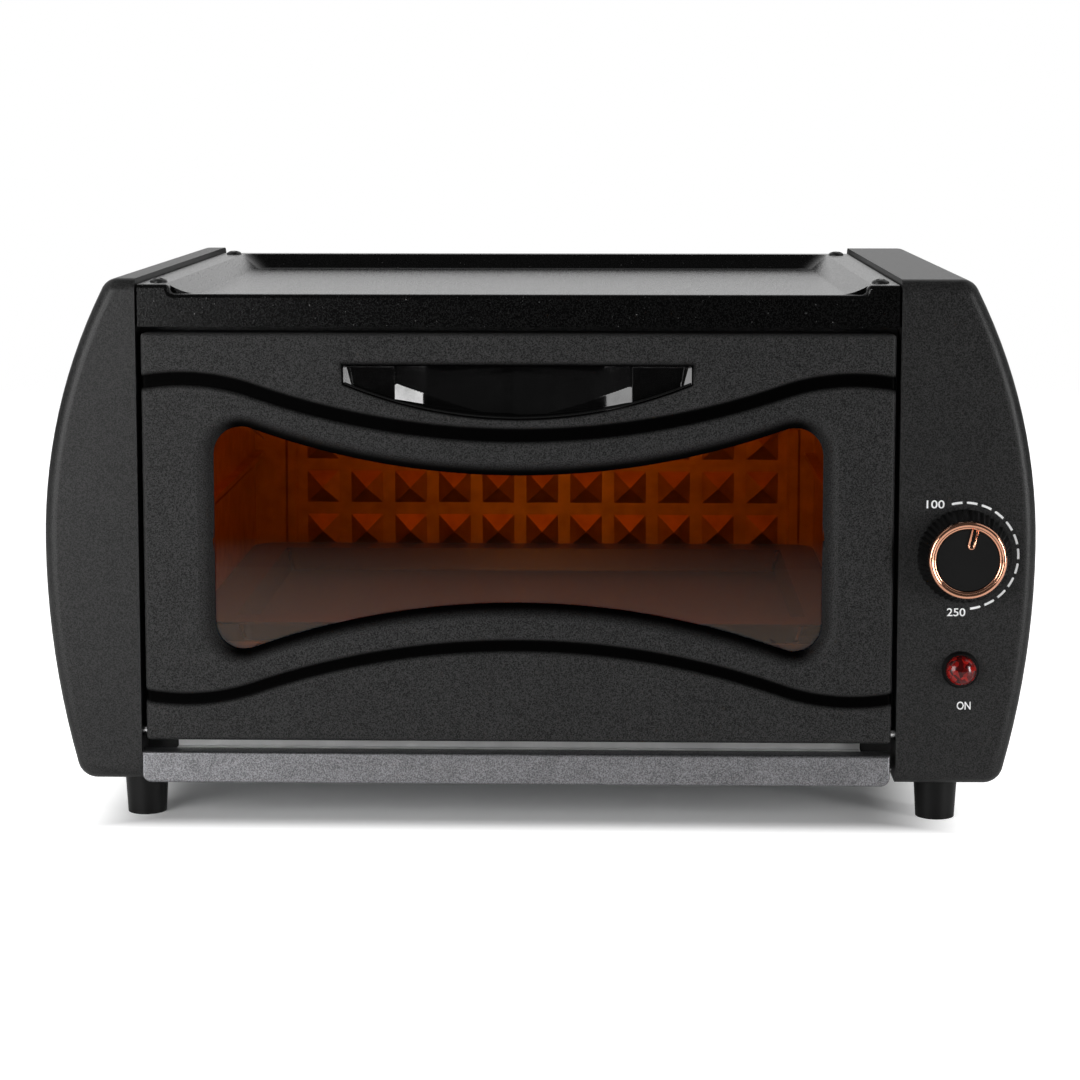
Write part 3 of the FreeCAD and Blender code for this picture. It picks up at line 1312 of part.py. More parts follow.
def knob():
    back = FRONT - d.knob_gap
    front = FRONT - d.knob_proud + d.knob_ring_height
    form = fluted_form("knob_form", d.knob_base_dia / 2, d.knob_front_dia / 2, back, front)
    hollow = rod("knob_hollow", KNOB_X, back, KNOB_Z, d.nut_across / 2 + 4 * d.fit_gap,
                 d.nut_height + d.fit_gap, "-y")
    bore = rod("knob_bore", KNOB_X, back, KNOB_Z, d.shaft_dia / 2 + d.pin_clearance,
               d.knob_proud, "-y")
    keep(cut("knob_skirt", form, fuse("knob_hole_solid", hollow, bore)), "knob_skirt")
    ring_solid = rod("knob_ring_solid", KNOB_X, front, KNOB_Z, d.knob_ring_outer / 2,
                     d.knob_ring_height, "-y", d.knob_ring_outer / 2 - d.knob_ring_height / 3)
    ring_bore = rod("knob_ring_bore", KNOB_X, front, KNOB_Z, d.knob_ring_inner / 2,
                    d.knob_ring_height, "-y")
    keep(cut("knob_ring", ring_solid, ring_bore), "knob_ring")
    cap_height = d.knob_ring_height - d.knob_cap_set_back / 2
    keep(rod("knob_cap", KNOB_X, front, KNOB_Z, d.knob_ring_inner / 2 - d.pin_clearance,
             cap_height, "-y"), "knob_cap")
    # U-shaped pointer, turned about the knob's axis
    body = new_body("knob_pointer")
    face = sketch(body, "pointer_face", "XZ_Plane")
    half = d.pointer_width / 2
    bar = d.pointer_bar
    top = d.knob_ring_inner / 2 - 2 * d.pin_clearance
    bottom = top - d.pointer_length
    outline(face, (-half, top), (-half, bottom), (half, bottom), (half, top), (half - bar, top),
            (half - bar, bottom + bar), (bar - half, bottom + bar), (bar - half, top))
    pad(body, face, d.knob_cap_set_back / 2)
    body.Placement = FreeCAD.Placement(V(), FreeCAD.Rotation(V(0, 1, 0), SIZES["pointer_angle"]))
    place(body, KNOB_X, front - cap_height, KNOB_Z)
    keep(body, "knob_pointer")


def pilot_lamp():
    hole = d.lens_dia / 2
    bezel = rod("bezel_solid", LAMP_X, FRONT, LAMP_Z, d.bezel_dia / 2, d.bezel_proud, "-y",
                d.bezel_dia / 2 - d.bezel_proud / 2)
    bezel_bore = rod("bezel_bore", LAMP_X, FRONT, LAMP_Z, hole + d.pin_clearance, d.bezel_proud, "-y")
    keep(cut("indicator_bezel", bezel, bezel_bore), "indicator_bezel")
    dome = doc.addObject("Part::Sphere", "lens_dome")
    bind(dome, "Radius", hole)
    place(dome, LAMP_X, FRONT - d.bezel_proud / 2, LAMP_Z)
    stem = rod("lens_stem", LAMP_X, FRONT - d.bezel_proud / 2, LAMP_Z, hole,
               d.panel_wall + d.bezel_proud / 2, "y")
    blunt = box("lens_blunt", LAMP_X - hole, FRONT - d.bezel_proud / 2, LAMP_Z - hole,
                LAMP_X + hole, FRONT + 2 * hole, LAMP_Z + hole)
    keep(fuse("indicator_lens", cut("lens_cap", dome, blunt), stem), "indicator_lens")
    start = FRONT + d.panel_wall
    keep(rod("indicator_body", LAMP_X, start, LAMP_Z, hole - d.fit_gap, d.lamp_body_length, "y"),
         "indicator_body")
    tabs = []
    for side in (-1, 1):
        x = LAMP_X + side * hole / 2
        tabs.append(box(f"indicator_tab_{'left' if side < 0 else 'right'}", x - d.sheet / 2,
                        start + d.lamp_body_length, LAMP_Z - hole / 3, x + d.sheet / 2,
                        start + d.lamp_body_length + d.terminal_length, LAMP_Z + hole / 3))
    group("indicator_terminals", tabs)


def supply():
    """Cord gland in the right panel's rear wall, terminal block and the leads from it."""
    wall = d.panel_wall
    neck = d.gland_dia / 2 - 2 * d.fit_gap - d.pin_clearance
    outside = rod("gland_flange", GLAND_X, BACK, GLAND_Z, d.gland_dia / 2, d.gland_proud, "y",
                  d.gland_bore / 2 + 2 * d.panel_wall)
    through = rod("gland_neck", GLAND_X, BACK - 3 * wall, GLAND_Z, neck, 3 * wall, "y")
    bore = rod("gland_bore_solid", GLAND_X, BACK - 3 * wall, GLAND_Z, d.gland_bore / 2,
               3 * wall + d.gland_proud, "y")
    keep(cut("cord_gland", fuse("gland_solid", outside, through), bore), "cord_gland")

    # the block stands on the base plate, clear of the rear foot's screw
    floor = BASE_TOP
    block_y = BACK - 2 * d.foot_inset - d.block_length
    block_x = d.over_width / 2 - d.block_inset
    keep(box("terminal_block", block_x, block_y, floor,
             block_x + d.block_width, block_y + d.block_length, floor + d.block_height), "terminal_block")
    lead_z = floor + d.block_height / 2
    case_back = FRONT + d.panel_wall
    lead("thermostat_lead", (block_x + d.block_width / 4, block_y, lead_z),
         (KNOB_X - d.thermostat_width / 4, case_back + d.thermostat_depth, KNOB_Z))
    lead("lamp_lead", (block_x + d.block_width * 3 / 4, block_y, lead_z),
         (LAMP_X + d.lens_dia / 4, case_back + d.lamp_body_length + d.terminal_length, LAMP_Z))


def lead(name, start, end):
    """A short wire: level, one slanted run, level again, with tangent arcs between."""
    a = V(*[s.value for s in start])
    b = V(*[s.value for s in end])
    third = (b.y - a.y) / 3
    p = V(a.x, a.y + third, a.z)
    q = V(b.x, b.y - third, b.z)
    corner = d.lead_bend.value
    edges = []
    last = a
    for here, after in ((p, q), (q, b)):
        into = (here - last).normalize()
        away = (after - here).normalize()
        turn = into.getAngle(away)
        trim = corner * math.tan(turn / 2)
        begin = here - into * trim
        end_point = here + away * trim
        middle = here + (away - into).normalize() * (corner / math.cos(turn / 2) - corner)
        edges.append(Part.LineSegment(last, begin).toShape())
        edges.append(Part.Arc(begin, middle, end_point).toShape())
        last = end_point
    edges.append(Part.LineSegment(last, b).toShape())
    path = Part.Wire(edges)
    rim = Part.Wire(Part.Circle(a, V(0, 1, 0), d.wire_dia.value / 2).toShape())
    made = doc.addObject("Part::Feature", name)
    made.Shape = path.makePipeShell([rim], True, False)
    keep(made, name)


def door_springs():
    """A closing spring coiled round each hinge pin, in the side panel's hollow."""
    for name, side in (("left", -1), ("right", 1)):
        bracket = (LEFT if side < 0 else RIGHT) + side * (d.panel_wall + d.fit_gap + d.door_skin)
        wire = d.spring_wire / 2
        coil = d.hinge_pin_dia / 2 + wire + d.fit_gap
        length = d.spring_pitch * d.spring_turns
        helix = Part.makeHelix(d.spring_pitch.value, length.value, coil.value)
        section = Part.Wire(Part.Circle(V(coil.value, 0, 0), V(0, 1, 0), wire.value).toShape())
        spring = Part.Wire(helix.Edges).makePipeShell([section], True, True)
        made = doc.addObject("Part::Feature", f"{name}_door_spring")
        made.Shape = spring
        made.Placement = FreeCAD.Placement(V(), FreeCAD.Rotation(V(0, 1, 0), 90 * side))
        place(made, bracket + side * wire, HINGE_Y, HINGE_Z)
        keep(made, f"{name}_door_spring")


# ---------------------------------------------------------------- build and write

side_panel("left_side_panel", -1)
side_panel("right_side_panel", 1)
top_cover()
cover_bracket("left_cover_bracket", -1)
cover_bracket("right_cover_bracket", 1)
rear_panel()
base_plate()
feet()
chamber_wall("chamber_left_wall", -1)
chamber_wall("chamber_right_wall", 1)
back_wall()
ceiling()
rails()
door_outer_panel()
door_glass()
door_inner_frame()
door_handle()
hinges()
door_springs()
baking_tray()
crumb_tray()
elements()
thermostat()
knob()
pilot_lamp()
supply()
doc.recompute()

failed = [o.Name for o in doc.Objects if "Invalid" in o.State or "Error" in o.State]
if failed:
    raise RuntimeError(f"objects that failed: {failed}")
for node in NODES:
    if node.Shape.isNull() or not node.Shape.isValid() or not node.Shape.Solids:
        raise RuntimeError(f"{node.Label} has no valid solid")

os.makedirs("parts", exist_ok=True)
for node in NODES:
    node.Shape.exportStep(f"parts/{node.Label}.step")
print(len(NODES), "nodes written")
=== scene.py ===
import math

import bpy
import numpy as np
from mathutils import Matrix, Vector, geometry


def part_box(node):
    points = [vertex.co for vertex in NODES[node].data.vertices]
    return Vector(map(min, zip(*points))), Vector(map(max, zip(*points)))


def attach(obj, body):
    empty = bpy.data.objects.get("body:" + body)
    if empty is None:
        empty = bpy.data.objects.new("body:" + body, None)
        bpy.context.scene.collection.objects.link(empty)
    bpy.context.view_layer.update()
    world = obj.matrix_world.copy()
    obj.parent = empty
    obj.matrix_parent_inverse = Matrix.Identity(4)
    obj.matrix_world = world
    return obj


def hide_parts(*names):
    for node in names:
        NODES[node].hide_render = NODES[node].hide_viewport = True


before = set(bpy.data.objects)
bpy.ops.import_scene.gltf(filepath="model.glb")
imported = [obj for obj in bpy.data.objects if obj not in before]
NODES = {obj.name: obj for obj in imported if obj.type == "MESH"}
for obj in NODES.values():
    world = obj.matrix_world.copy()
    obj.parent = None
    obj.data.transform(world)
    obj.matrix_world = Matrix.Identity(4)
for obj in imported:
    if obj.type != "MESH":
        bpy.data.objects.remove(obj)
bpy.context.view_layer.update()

MM = 0.001
SCENE = bpy.context.scene

# ------------------------------------------------------------ places, in millimetres

FRONT = -125.75
DOOR_BACK = -111.75
LEFT = -157.3
RIGHT = 141.0
DOOR_MID = -8.15
DOOR_HALF = 147.25
DOOR_LOW = 34.1
DOOR_HIGH = 196.1
WINDOW_Z = 114.55
WINDOW_HALF = 119.65
WAIST = 25.35
CORNER_RADIUS = 11.0
CORNER_X = WINDOW_HALF - CORNER_RADIUS
CORNER_Z = 33.42
WINDOW_ARC = (CORNER_X ** 2 + (CORNER_Z - WAIST) ** 2 - CORNER_RADIUS ** 2) / (
    2 * (CORNER_Z - WAIST + CORNER_RADIUS))
WINDOW_DEPTH = 4.2
HANDLE_TOP = 183.3
HANDLE_HALF = 68.1
HANDLE_LOW = HANDLE_TOP - 20.8
HANDLE_ARC = 177.0
HANDLE_BACK = FRONT + 16.5
GRIP_MID = DOOR_MID - 1.6
GRIP_HALF = 46.5
CREST_RADIUS = 86.0
CREST_RISE = 22.0
CREST_X = DOOR_HALF - 15.75
WAVES = ((1, 156.05, 6.0), (-1, 72.65, 5.2))
WAVE_DEPTH = 1.4
EDGE = 1.7
BORDER = 6.4
HALO = 2.8
HALO_LOW = 0.8
HALO_DEPTH = 0.9
KNOB = (166.5, 109.4)
RING_FRONT = FRONT - 12.5
POINTER_TILT = math.radians(11.8)
LAMP = (165.8, 64.3)
FLANGE = 215.0
SCREW_X = (LEFT + 7.2, RIGHT - 7.2)
SCREW_Y = (FRONT + 15.0, 106.25)
SCREW_SHANK = 7.0
PRINT_Y = FRONT - 0.04

# ------------------------------------------------------------ materials


def new_material(name):
    made = bpy.data.materials.new(name)
    made.use_nodes = True
    return made


class Shader:
    """Short names for the nodes of one material."""

    def __init__(self, name):
        self.material = new_material(name)
        self.tree = self.material.node_tree
        self.surface = self.tree.nodes["Principled BSDF"]
        self.places = self.add("ShaderNodeTexCoord").outputs["Object"]

    def add(self, kind, **values):
        node = self.tree.nodes.new(kind)
        for key, value in values.items():
            if hasattr(node, key):
                setattr(node, key, value)
            else:
                node.inputs[key.replace("_", " ")].default_value = value
        return node

    def link(self, source, target):
        self.tree.links.new(source, target)

    def set(self, **values):
        for key, value in values.items():
            self.surface.inputs[key.replace("_", " ")].default_value = value
        return self

    def noise(self, size, detail=3.0, rough=0.55, stretch=None):
        """Noise with features of about size millimetres."""
        node = self.add("ShaderNodeTexNoise", Detail=detail, Roughness=rough)
        node.inputs["Scale"].default_value = 1 / (size * MM)
        source = self.places
        if stretch:
            mapping = self.add("ShaderNodeMapping")
            mapping.inputs["Scale"].default_value = stretch
            self.link(source, mapping.inputs["Vector"])
            source = mapping.outputs["Vector"]
        self.link(source, node.inputs["Vector"])
        return node.outputs["Fac"]

    def ramp(self, source, *stops):
        node = self.add("ShaderNodeValToRGB")
        while len(node.color_ramp.elements) < len(stops):
            node.color_ramp.elements.new(0.5)
        for element, (place, value) in zip(node.color_ramp.elements, stops):
            element.position = place
            colour = value if isinstance(value, tuple) else (value,) * 3
            element.color = (*colour, 1)
        self.link(source, node.inputs["Fac"])
        return node.outputs["Color"]

    def colour(self, source):
        self.link(source, self.surface.inputs["Base Color"])

    def base(self):
        """What gives the colour so far."""
        return self.surface.inputs["Base Color"].links[0].from_socket

    def mixed(self, first, second, blend="MULTIPLY"):
        node = self.add("ShaderNodeMix", data_type="RGBA", blend_type=blend)
        node.inputs[0].default_value = 1.0
        self.link(first, node.inputs[6])
        self.link(second, node.inputs[7])
        return node.outputs[2]

    def roughness(self, source):
        self.link(source, self.surface.inputs["Roughness"])

    def bump(self, source, height, strength=1.0):
        """Bump of about height millimetres."""
        node = self.add("ShaderNodeBump")
        node.inputs["Distance"].default_value = height * MM
        node.inputs["Strength"].default_value = strength
        self.link(source, node.inputs["Height"])
        previous = self.surface.inputs["Normal"].links
        if previous:
            self.link(previous[0].from_socket, node.inputs["Normal"])
        self.link(node.outputs["Normal"], self.surface.inputs["Normal"])


def grey(value):
    return (value, value, value)


def powder_coat(name, tone, rough, grain, shine):
    """Baked powder with fine grain and faint cloudiness."""
    shader = Shader(name)
    fine = shader.noise(grain, 2.0, 0.6)
    low = shader.ramp(fine, (0.36, grey(tone * 0.2)), (0.64, grey(tone * 1.85)))
    cloudy = shader.ramp(shader.noise(30.0, 2.0), (0.3, 0.9), (0.7, 1.0))
    shader.colour(shader.mixed(low, cloudy))
    shader.roughness(shader.ramp(fine, (0.25, rough - 0.07), (0.75, rough + 0.09)))
    shader.bump(fine, 0.06)
    shader.set(Specular_IOR_Level=shine)
    return shader


def metal(name, colour, rough, brush=None, grain=0.6, mottle=0.0):
    """Bare or plated steel; brush stretches its fine marks along an axis."""
    shader = Shader(name)
    marks = shader.noise(grain, 4.0, 0.65, brush)
    patches = shader.noise(9.0, 3.0)
    dim = tuple(c * (1 - mottle) for c in colour)
    shader.colour(shader.ramp(patches, (0.35, dim), (0.65, colour)))
    shader.roughness(shader.ramp(marks, (0.25, max(rough - 0.08, 0.03)), (0.75, rough + 0.1)))
    shader.bump(marks, 0.01)
    shader.set(Metallic=1.0)
    return shader


def speckled(shader, share, size):
    """Fine light and dark flecks over a metal's own colour."""
    flecks = shader.ramp(shader.noise(size, 1.0, 0.5), (0.33, 1 - share), (0.67, 1 + share))
    shader.colour(shader.mixed(shader.base(), flecks))


def plastic(name, colour, rough, grain=0.4, bump=0.01):
    """Moulded plastic with a faint spark-eroded texture."""
    shader = Shader(name)
    fine = shader.noise(grain, 3.0)
    wide = shader.noise(14.0, 2.0)
    shader.colour(shader.ramp(wide, (0.3, tuple(c * 0.85 for c in colour)), (0.7, colour)))
    shader.roughness(shader.ramp(fine, (0.3, max(rough - 0.05, 0.02)), (0.7, rough + 0.06)))
    shader.bump(fine, bump)
    return shader


panel_black = powder_coat("panel_black", 0.017, 0.4, 0.46, 0.23)
door_black = powder_coat("door_black", 0.0243, 0.48, 0.43, 0.12)
# painted shade: the coat's colour and shine are taken down in the pressed grooves, the window's border and
# the rim round the handle, where shade falls
pressed = door_black.add("ShaderNodeAttribute", attribute_name="pressed").outputs["Fac"]
painted_groove_shade = door_black.ramp(pressed, (0.0, 1.0), (1.0, 0.0))
painted_groove_dullness = door_black.ramp(pressed, (0.0, 0.12), (0.85, 0.02))
door_black.colour(door_black.mixed(door_black.base(), painted_groove_shade))
door_black.link(painted_groove_dullness, door_black.surface.inputs["Specular IOR Level"])

cover_black = powder_coat("cover_black", 0.0012, 0.25, 0.6, 0.28)
# bright flecks in the cover's paint, their sparkle painted in as colour: partly real flecks, partly painted
# glints
flake_and_glint = cover_black.ramp(cover_black.noise(0.75, 1.0, 0.5), (0.76, 0.0), (0.82, 0.22))
cover_black.colour(cover_black.mixed(cover_black.base(), flake_and_glint, "ADD"))

steel_grey = metal("galvanised", (0.62, 0.63, 0.64), 0.34, grain=1.6, mottle=0.18)
strip_silver = metal("strip_silver", (0.25, 0.25, 0.261), 0.42, (0.12, 1, 1), 0.7, 0.16)
speckled(strip_silver, 0.42, 0.5)
bright_steel = metal("bright_steel", (0.7, 0.7, 0.7), 0.2, grain=0.5, mottle=0.06)
satin_steel = metal("satin_steel", (0.82, 0.82, 0.82), 0.4, grain=0.8, mottle=0.12)
satin_steel.set(Metallic=0.5)
screw_black = metal("screw_black", (0.02, 0.02, 0.02), 0.3, grain=0.4, mottle=0.2)
screw_black.set(Metallic=0.0)
element_sheath = metal("element_sheath", (0.36, 0.3, 0.26), 0.5, grain=0.8, mottle=0.3)
tab_brass = metal("tab_brass", (0.65, 0.47, 0.22), 0.28, grain=0.5, mottle=0.12)
tray_enamel = plastic("tray_enamel", (0.02, 0.017, 0.015), 0.42, 1.2, 0.02)
foot_plastic = plastic("foot_plastic", (0.003, 0.003, 0.003), 0.42, 0.5, 0.02)
foot_plastic.set(Specular_IOR_Level=0.2)
silicone = plastic("silicone", (0.02, 0.02, 0.02), 0.6, 0.5)
ceramic_white = plastic("ceramic_white", (0.72, 0.69, 0.63), 0.45, 0.6)
knob_black = plastic("knob_black", (0.003, 0.003, 0.003), 0.44, 0.4, 0.012)
knob_black.set(Specular_IOR_Level=0.14)
cap_black = plastic("cap_black", (0.008, 0.008, 0.008), 0.5, 0.35, 0.02)
cap_black.set(Specular_IOR_Level=0.1)
lead_sleeve = plastic("lead_sleeve", (0.35, 0.03, 0.02), 0.5, 0.5)
handle_gloss = plastic("handle_gloss", (0.003, 0.003, 0.003), 0.13, 6.0, 0.0004)
handle_gloss.set(Specular_IOR_Level=0.45)
knob_copper = metal("knob_copper", (0.8, 0.4, 0.26), 0.09, grain=0.4, mottle=0.05)
print_white = plastic("print_white", (0.95, 0.95, 0.95), 0.5, 0.3)
chamber_steel = metal("chamber_steel", (0.5, 0.45, 0.38), 0.55, grain=1.2, mottle=0.2)

amber_glass = Shader("amber_glass")
amber_glass.colour(amber_glass.ramp(amber_glass.noise(60.0),
                                    (0.3, (0.66, 0.24, 0.012)), (0.7, (0.7, 0.26, 0.015))))
amber_glass.roughness(amber_glass.ramp(amber_glass.noise(5.0), (0.3, 0.0), (0.7, 0.03)))
amber_glass.set(Transmission_Weight=1.0, IOR=1.5)

# small facets moulded behind the lens, drawn as cells of darker and lighter red: painted shading and glints
# of the facets
lens_red = Shader("lens_red")
cells = lens_red.add("ShaderNodeTexVoronoi")
cells.inputs["Scale"].default_value = 620
lens_red.link(lens_red.places, cells.inputs["Vector"])
facet_painted_shade = lens_red.add("ShaderNodeSeparateXYZ")
lens_red.link(cells.outputs["Color"], facet_painted_shade.inputs[0])
lens_red.colour(lens_red.ramp(facet_painted_shade.outputs["X"], (0.2, (0.04, 0.001, 0.001)),
                              (0.55, (0.13, 0.002, 0.002)), (0.9, (0.3, 0.008, 0.005))))
lens_red.roughness(lens_red.ramp(lens_red.noise(0.8), (0.3, 0.12), (0.7, 0.2)))
lens_red.bump(lens_red.noise(6.0), 0.01)
lens_red.set(Coat_Weight=0.3, Coat_Roughness=0.04, Specular_IOR_Level=0.25)

glow_hot = Shader("element_glow")
heat = glow_hot.noise(6.0)
glow_hot.colour(glow_hot.ramp(heat, (0.3, (0.2, 0.05, 0.02)), (0.7, (0.3, 0.08, 0.03))))
glow_hot.roughness(glow_hot.ramp(heat, (0.3, 0.5), (0.7, 0.7)))
glow_hot.link(glow_hot.ramp(heat, (0.2, (1.0, 0.1, 0.01)), (0.8, (1.0, 0.16, 0.03))),
              glow_hot.surface.inputs["Emission Color"])
glow_hot.set(Emission_Strength=1.2)

FINISHES = {
    "left_side_panel": panel_black, "right_side_panel": panel_black,
    "top_cover": cover_black, "cover_screws": screw_black,
    "left_cover_bracket": steel_grey, "right_cover_bracket": steel_grey,
    "rear_panel": steel_grey, "rear_panel_screws": screw_black, "base_plate": steel_grey,
    "front_left_foot": foot_plastic, "rear_left_foot": foot_plastic,
    "front_right_foot": foot_plastic, "rear_right_foot": foot_plastic, "foot_screws": bright_steel,
    "chamber_left_wall": chamber_steel, "chamber_right_wall": chamber_steel,
    "chamber_back_wall": chamber_steel, "chamber_ceiling": chamber_steel,
    "front_top_rail": panel_black, "front_sill": satin_steel,
    "door_outer_panel": door_black, "door_glass": amber_glass, "door_glass_seal": silicone,
    "glass_retainers": steel_grey, "glass_retainer_studs": bright_steel,
    "door_inner_frame": steel_grey, "door_handle": handle_gloss,
    "left_hinge_block": steel_grey, "right_hinge_block": steel_grey,
    "left_hinge_pin": bright_steel, "right_hinge_pin": bright_steel,
    "left_hinge_bracket": steel_grey, "right_hinge_bracket": steel_grey,
    "hinge_bracket_rivets": bright_steel,
    "left_door_spring": bright_steel, "right_door_spring": bright_steel,
    "baking_tray": tray_enamel, "crumb_tray_pan": steel_grey, "crumb_tray_front": strip_silver,
    "lower_front_element": element_sheath, "lower_rear_element": element_sheath,
    "upper_front_element": glow_hot, "upper_rear_element": glow_hot,
    "element_insulators": ceramic_white, "element_terminals": bright_steel,
    "thermostat_body": ceramic_white, "thermostat_nut": bright_steel,
    "thermostat_shaft": bright_steel,
    "knob_skirt": knob_black, "knob_ring": knob_copper, "knob_cap": cap_black,
    "knob_pointer": knob_copper,
    "indicator_bezel": foot_plastic, "indicator_lens": lens_red, "indicator_body": ceramic_white,
    "indicator_terminals": tab_brass, "cord_gland": foot_plastic, "terminal_block": ceramic_white,
    "thermostat_lead": lead_sleeve, "lamp_lead": lead_sleeve,
}
for node_name, finish in FINISHES.items():
    mesh = NODES[node_name].data
    mesh.materials.clear()
    mesh.materials.append(finish.material)

# the chamber's front edges are dark
FRONT_EDGE = 3 * MM
front_dark = metal("front_dark", (0.012, 0.012, 0.012), 0.6, grain=0.8, mottle=0.3)
front_dark.set(Metallic=0.0)
for node_name in ("chamber_left_wall", "chamber_right_wall"):
    mesh = NODES[node_name].data
    mesh.materials.append(front_dark.material)
    front_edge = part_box(node_name)[0].y
    for polygon in mesh.polygons:
        if polygon.center.y < front_edge + FRONT_EDGE:
            polygon.material_index = 1

rounding = NODES["crumb_tray_front"].modifiers.new("rounding", "BEVEL")
rounding.width = 0.5 * MM
rounding.segments = 2
rounding.limit_method = "ANGLE"
rounding.angle_limit = math.radians(40)

# ------------------------------------------------------------ making pieces


def piece(name, vertices, faces, finish, body, normals=None):
    """A mesh in millimetres that rides on a body."""
    mesh = bpy.data.meshes.new(name)
    mesh.from_pydata([Vector(v) * MM for v in vertices], [], faces)
    mesh.materials.append(finish.material)
    mesh.shade_smooth()
    if normals is not None:
        mesh.normals_split_custom_set_from_vertices([Vector(n).normalized() for n in normals])
    made = bpy.data.objects.new(name, mesh)
    SCENE.collection.objects.link(made)
    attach(made, body)
    return made


def circle(sides):
    angles = [2 * math.pi * s / sides for s in range(sides)]
    return [(math.cos(angle), math.sin(angle)) for angle in angles]


def band(first, second, sides, flip=False):
    """Faces between two rings of vertices, which start at first and second."""
    faces = []
    for s in range(sides):
        n = (s + 1) % sides
        corners = (first + s, first + n, second + n, second + s)
        faces.append((corners[0], *corners[:0:-1]) if flip else corners)
    return faces


def bead(path, radius, rise, sides):
    """A closed bead along a path of x, z: its vertices, with y from its own middle, and its faces."""
    vertices = []
    for k, (x, z) in enumerate(path):
        before = path[max(k - 1, 0)]
        after = path[min(k + 1, len(path) - 1)]
        along = Vector((after[0] - before[0], 0, after[1] - before[1])).normalized()
        across = Vector((-along.z, 0, along.x))
        for side, front in circle(sides):
            shift = across * (radius * side)
            vertices.append((x + shift.x, -rise * front, z + shift.z))
    faces = [face for k in range(len(path) - 1) for face in band(k * sides, (k + 1) * sides, sides)]
    faces.append(tuple(range(sides)))
    faces.append(tuple(range((len(path) - 1) * sides, len(path) * sides)))
    return vertices, faces


# ------------------------------------------------------------ door face

def window_outline(grow):
    """The waisted window seen from the front, widened by grow, as x, z from the door's middle."""
    arc = WINDOW_ARC - grow
    corner = CORNER_RADIUS + grow
    lean = math.atan2(CORNER_X, WAIST + WINDOW_ARC - CORNER_Z)
    quarter = []
    for step in range(61):
        angle = lean * step / 60
        quarter.append((arc * math.sin(angle), WAIST + WINDOW_ARC - arc * math.cos(angle)))
    for step in range(1, 15):
        angle = math.pi / 2 + (math.pi / 2 - lean) - (math.pi - lean) * step / 14
        quarter.append((CORNER_X + corner * math.cos(angle), CORNER_Z + corner * math.sin(angle)))
    for rise in range(5, 0, -1):
        quarter.append((WINDOW_HALF + grow, CORNER_Z * rise / 6))
    quarter.append((WINDOW_HALF + grow, 0.0))
    right = quarter + [(x, -z) for x, z in reversed(quarter[:-1])]
    left = [(-x, z) for x, z in reversed(right[1:-1])]
    return [(x + DOOR_MID, z + WINDOW_Z) for x, z in right + left]


def window_distance(x, z):
    """How far x, z lies outside the window's edge, negative inside."""
    a = np.abs(x - DOOR_MID)
    b = np.abs(z - WINDOW_Z)
    centre = WAIST + WINDOW_ARC
    along = a * (centre - CORNER_Z) - CORNER_X * (centre - b)
    over_arc = WINDOW_ARC - np.hypot(a, centre - b)
    corner = np.hypot(a - CORNER_X, b - CORNER_Z) - CORNER_RADIUS
    side = a - WINDOW_HALF
    return np.where(along < 0, over_arc, np.where(b > CORNER_Z, corner, side))


def wave_line(up, height, offset):
    """A line at offset above the middle of one pressed wave."""
    points = []
    for step in range(-74, 75):
        x = DOOR_HALF * step / 74
        low, high = -40.0, 40.0
        for _ in range(40):
            middle = (low + high) / 2
            if wave_offset(np.array(DOOR_MID + x), np.array(height + up * middle), up, height) < offset:
                low = middle
            else:
                high = middle
        points.append((DOOR_MID + x, height + up * low))
    return points


def wave_offset(x, z, up, height):
    """How far x, z lies beyond the middle line of a wave, away from the window."""
    a = np.abs(x - DOOR_MID)
    b = up * (z - height)
    span = (CREST_X ** 2 + CREST_RISE ** 2) / (2 * CREST_RISE)
    valley = span - CREST_RADIUS
    crest_z = CREST_RISE - CREST_RADIUS
    in_valley = a * (valley - crest_z) - CREST_X * (valley - b) < 0
    return np.where(in_valley, valley - np.hypot(a, valley - b),
                    np.hypot(a - CREST_X, b - crest_z) - CREST_RADIUS)


def handle_bottom(x):
    """The handle's curved lower edge."""
    return HANDLE_LOW + HANDLE_ARC - np.sqrt(HANDLE_ARC ** 2 - (x - DOOR_MID) ** 2)


def handle_distance(x, z):
    """How far x, z lies outside the handle's edge."""
    a = np.abs(x - DOOR_MID)
    end_z = handle_bottom(DOOR_MID + HANDLE_HALF)
    centre = HANDLE_LOW + HANDLE_ARC
    below = np.where(a * (centre - end_z) < HANDLE_HALF * (centre - z),
                     np.hypot(a, centre - z) - HANDLE_ARC, np.hypot(a - HANDLE_HALF, z - end_z))
    beside = np.hypot(np.maximum(a - HANDLE_HALF, 0), np.maximum(z - HANDLE_TOP, 0))
    return np.where(z < end_z, below, np.where((a < HANDLE_HALF) & (z < HANDLE_TOP), 0, beside))


def smooth(t):
    t = np.clip(t, 0, 1)
    return t * t * (3 - 2 * t)


def halo_reach(x, z):
    """Width of the drawn-in rim round the handle: wide above and beside it, narrow below."""
    return HALO_LOW + (HALO - HALO_LOW) * smooth((z - handle_bottom(x)) / 5.0)


def face_depth(x, z):
    """How far behind the front plane the pressed door skin lies."""
    inset = np.minimum(DOOR_HALF - np.abs(x - DOOR_MID), np.minimum(z - DOOR_LOW, DOOR_HIGH - z))
    inset = np.clip(inset, 0, EDGE)
    depth = EDGE - np.sqrt(EDGE ** 2 - (EDGE - inset) ** 2)
    share = np.clip(window_distance(x, z) / BORDER, 0, 1)
    depth = depth + WINDOW_DEPTH * (1 - np.sin(share * math.pi / 2)) ** 0.85
    for up, height, width in WAVES:
        beyond = np.abs(wave_offset(x, z, up, height))
        depth = depth + WAVE_DEPTH * (1 - smooth((beyond - width / 2 + 1.2) / 2.2))
    near_handle = np.clip(handle_distance(x, z) / halo_reach(x, z), 0, 1)
    return depth + HALO_DEPTH * (1 - np.sin(near_handle * math.pi / 2))


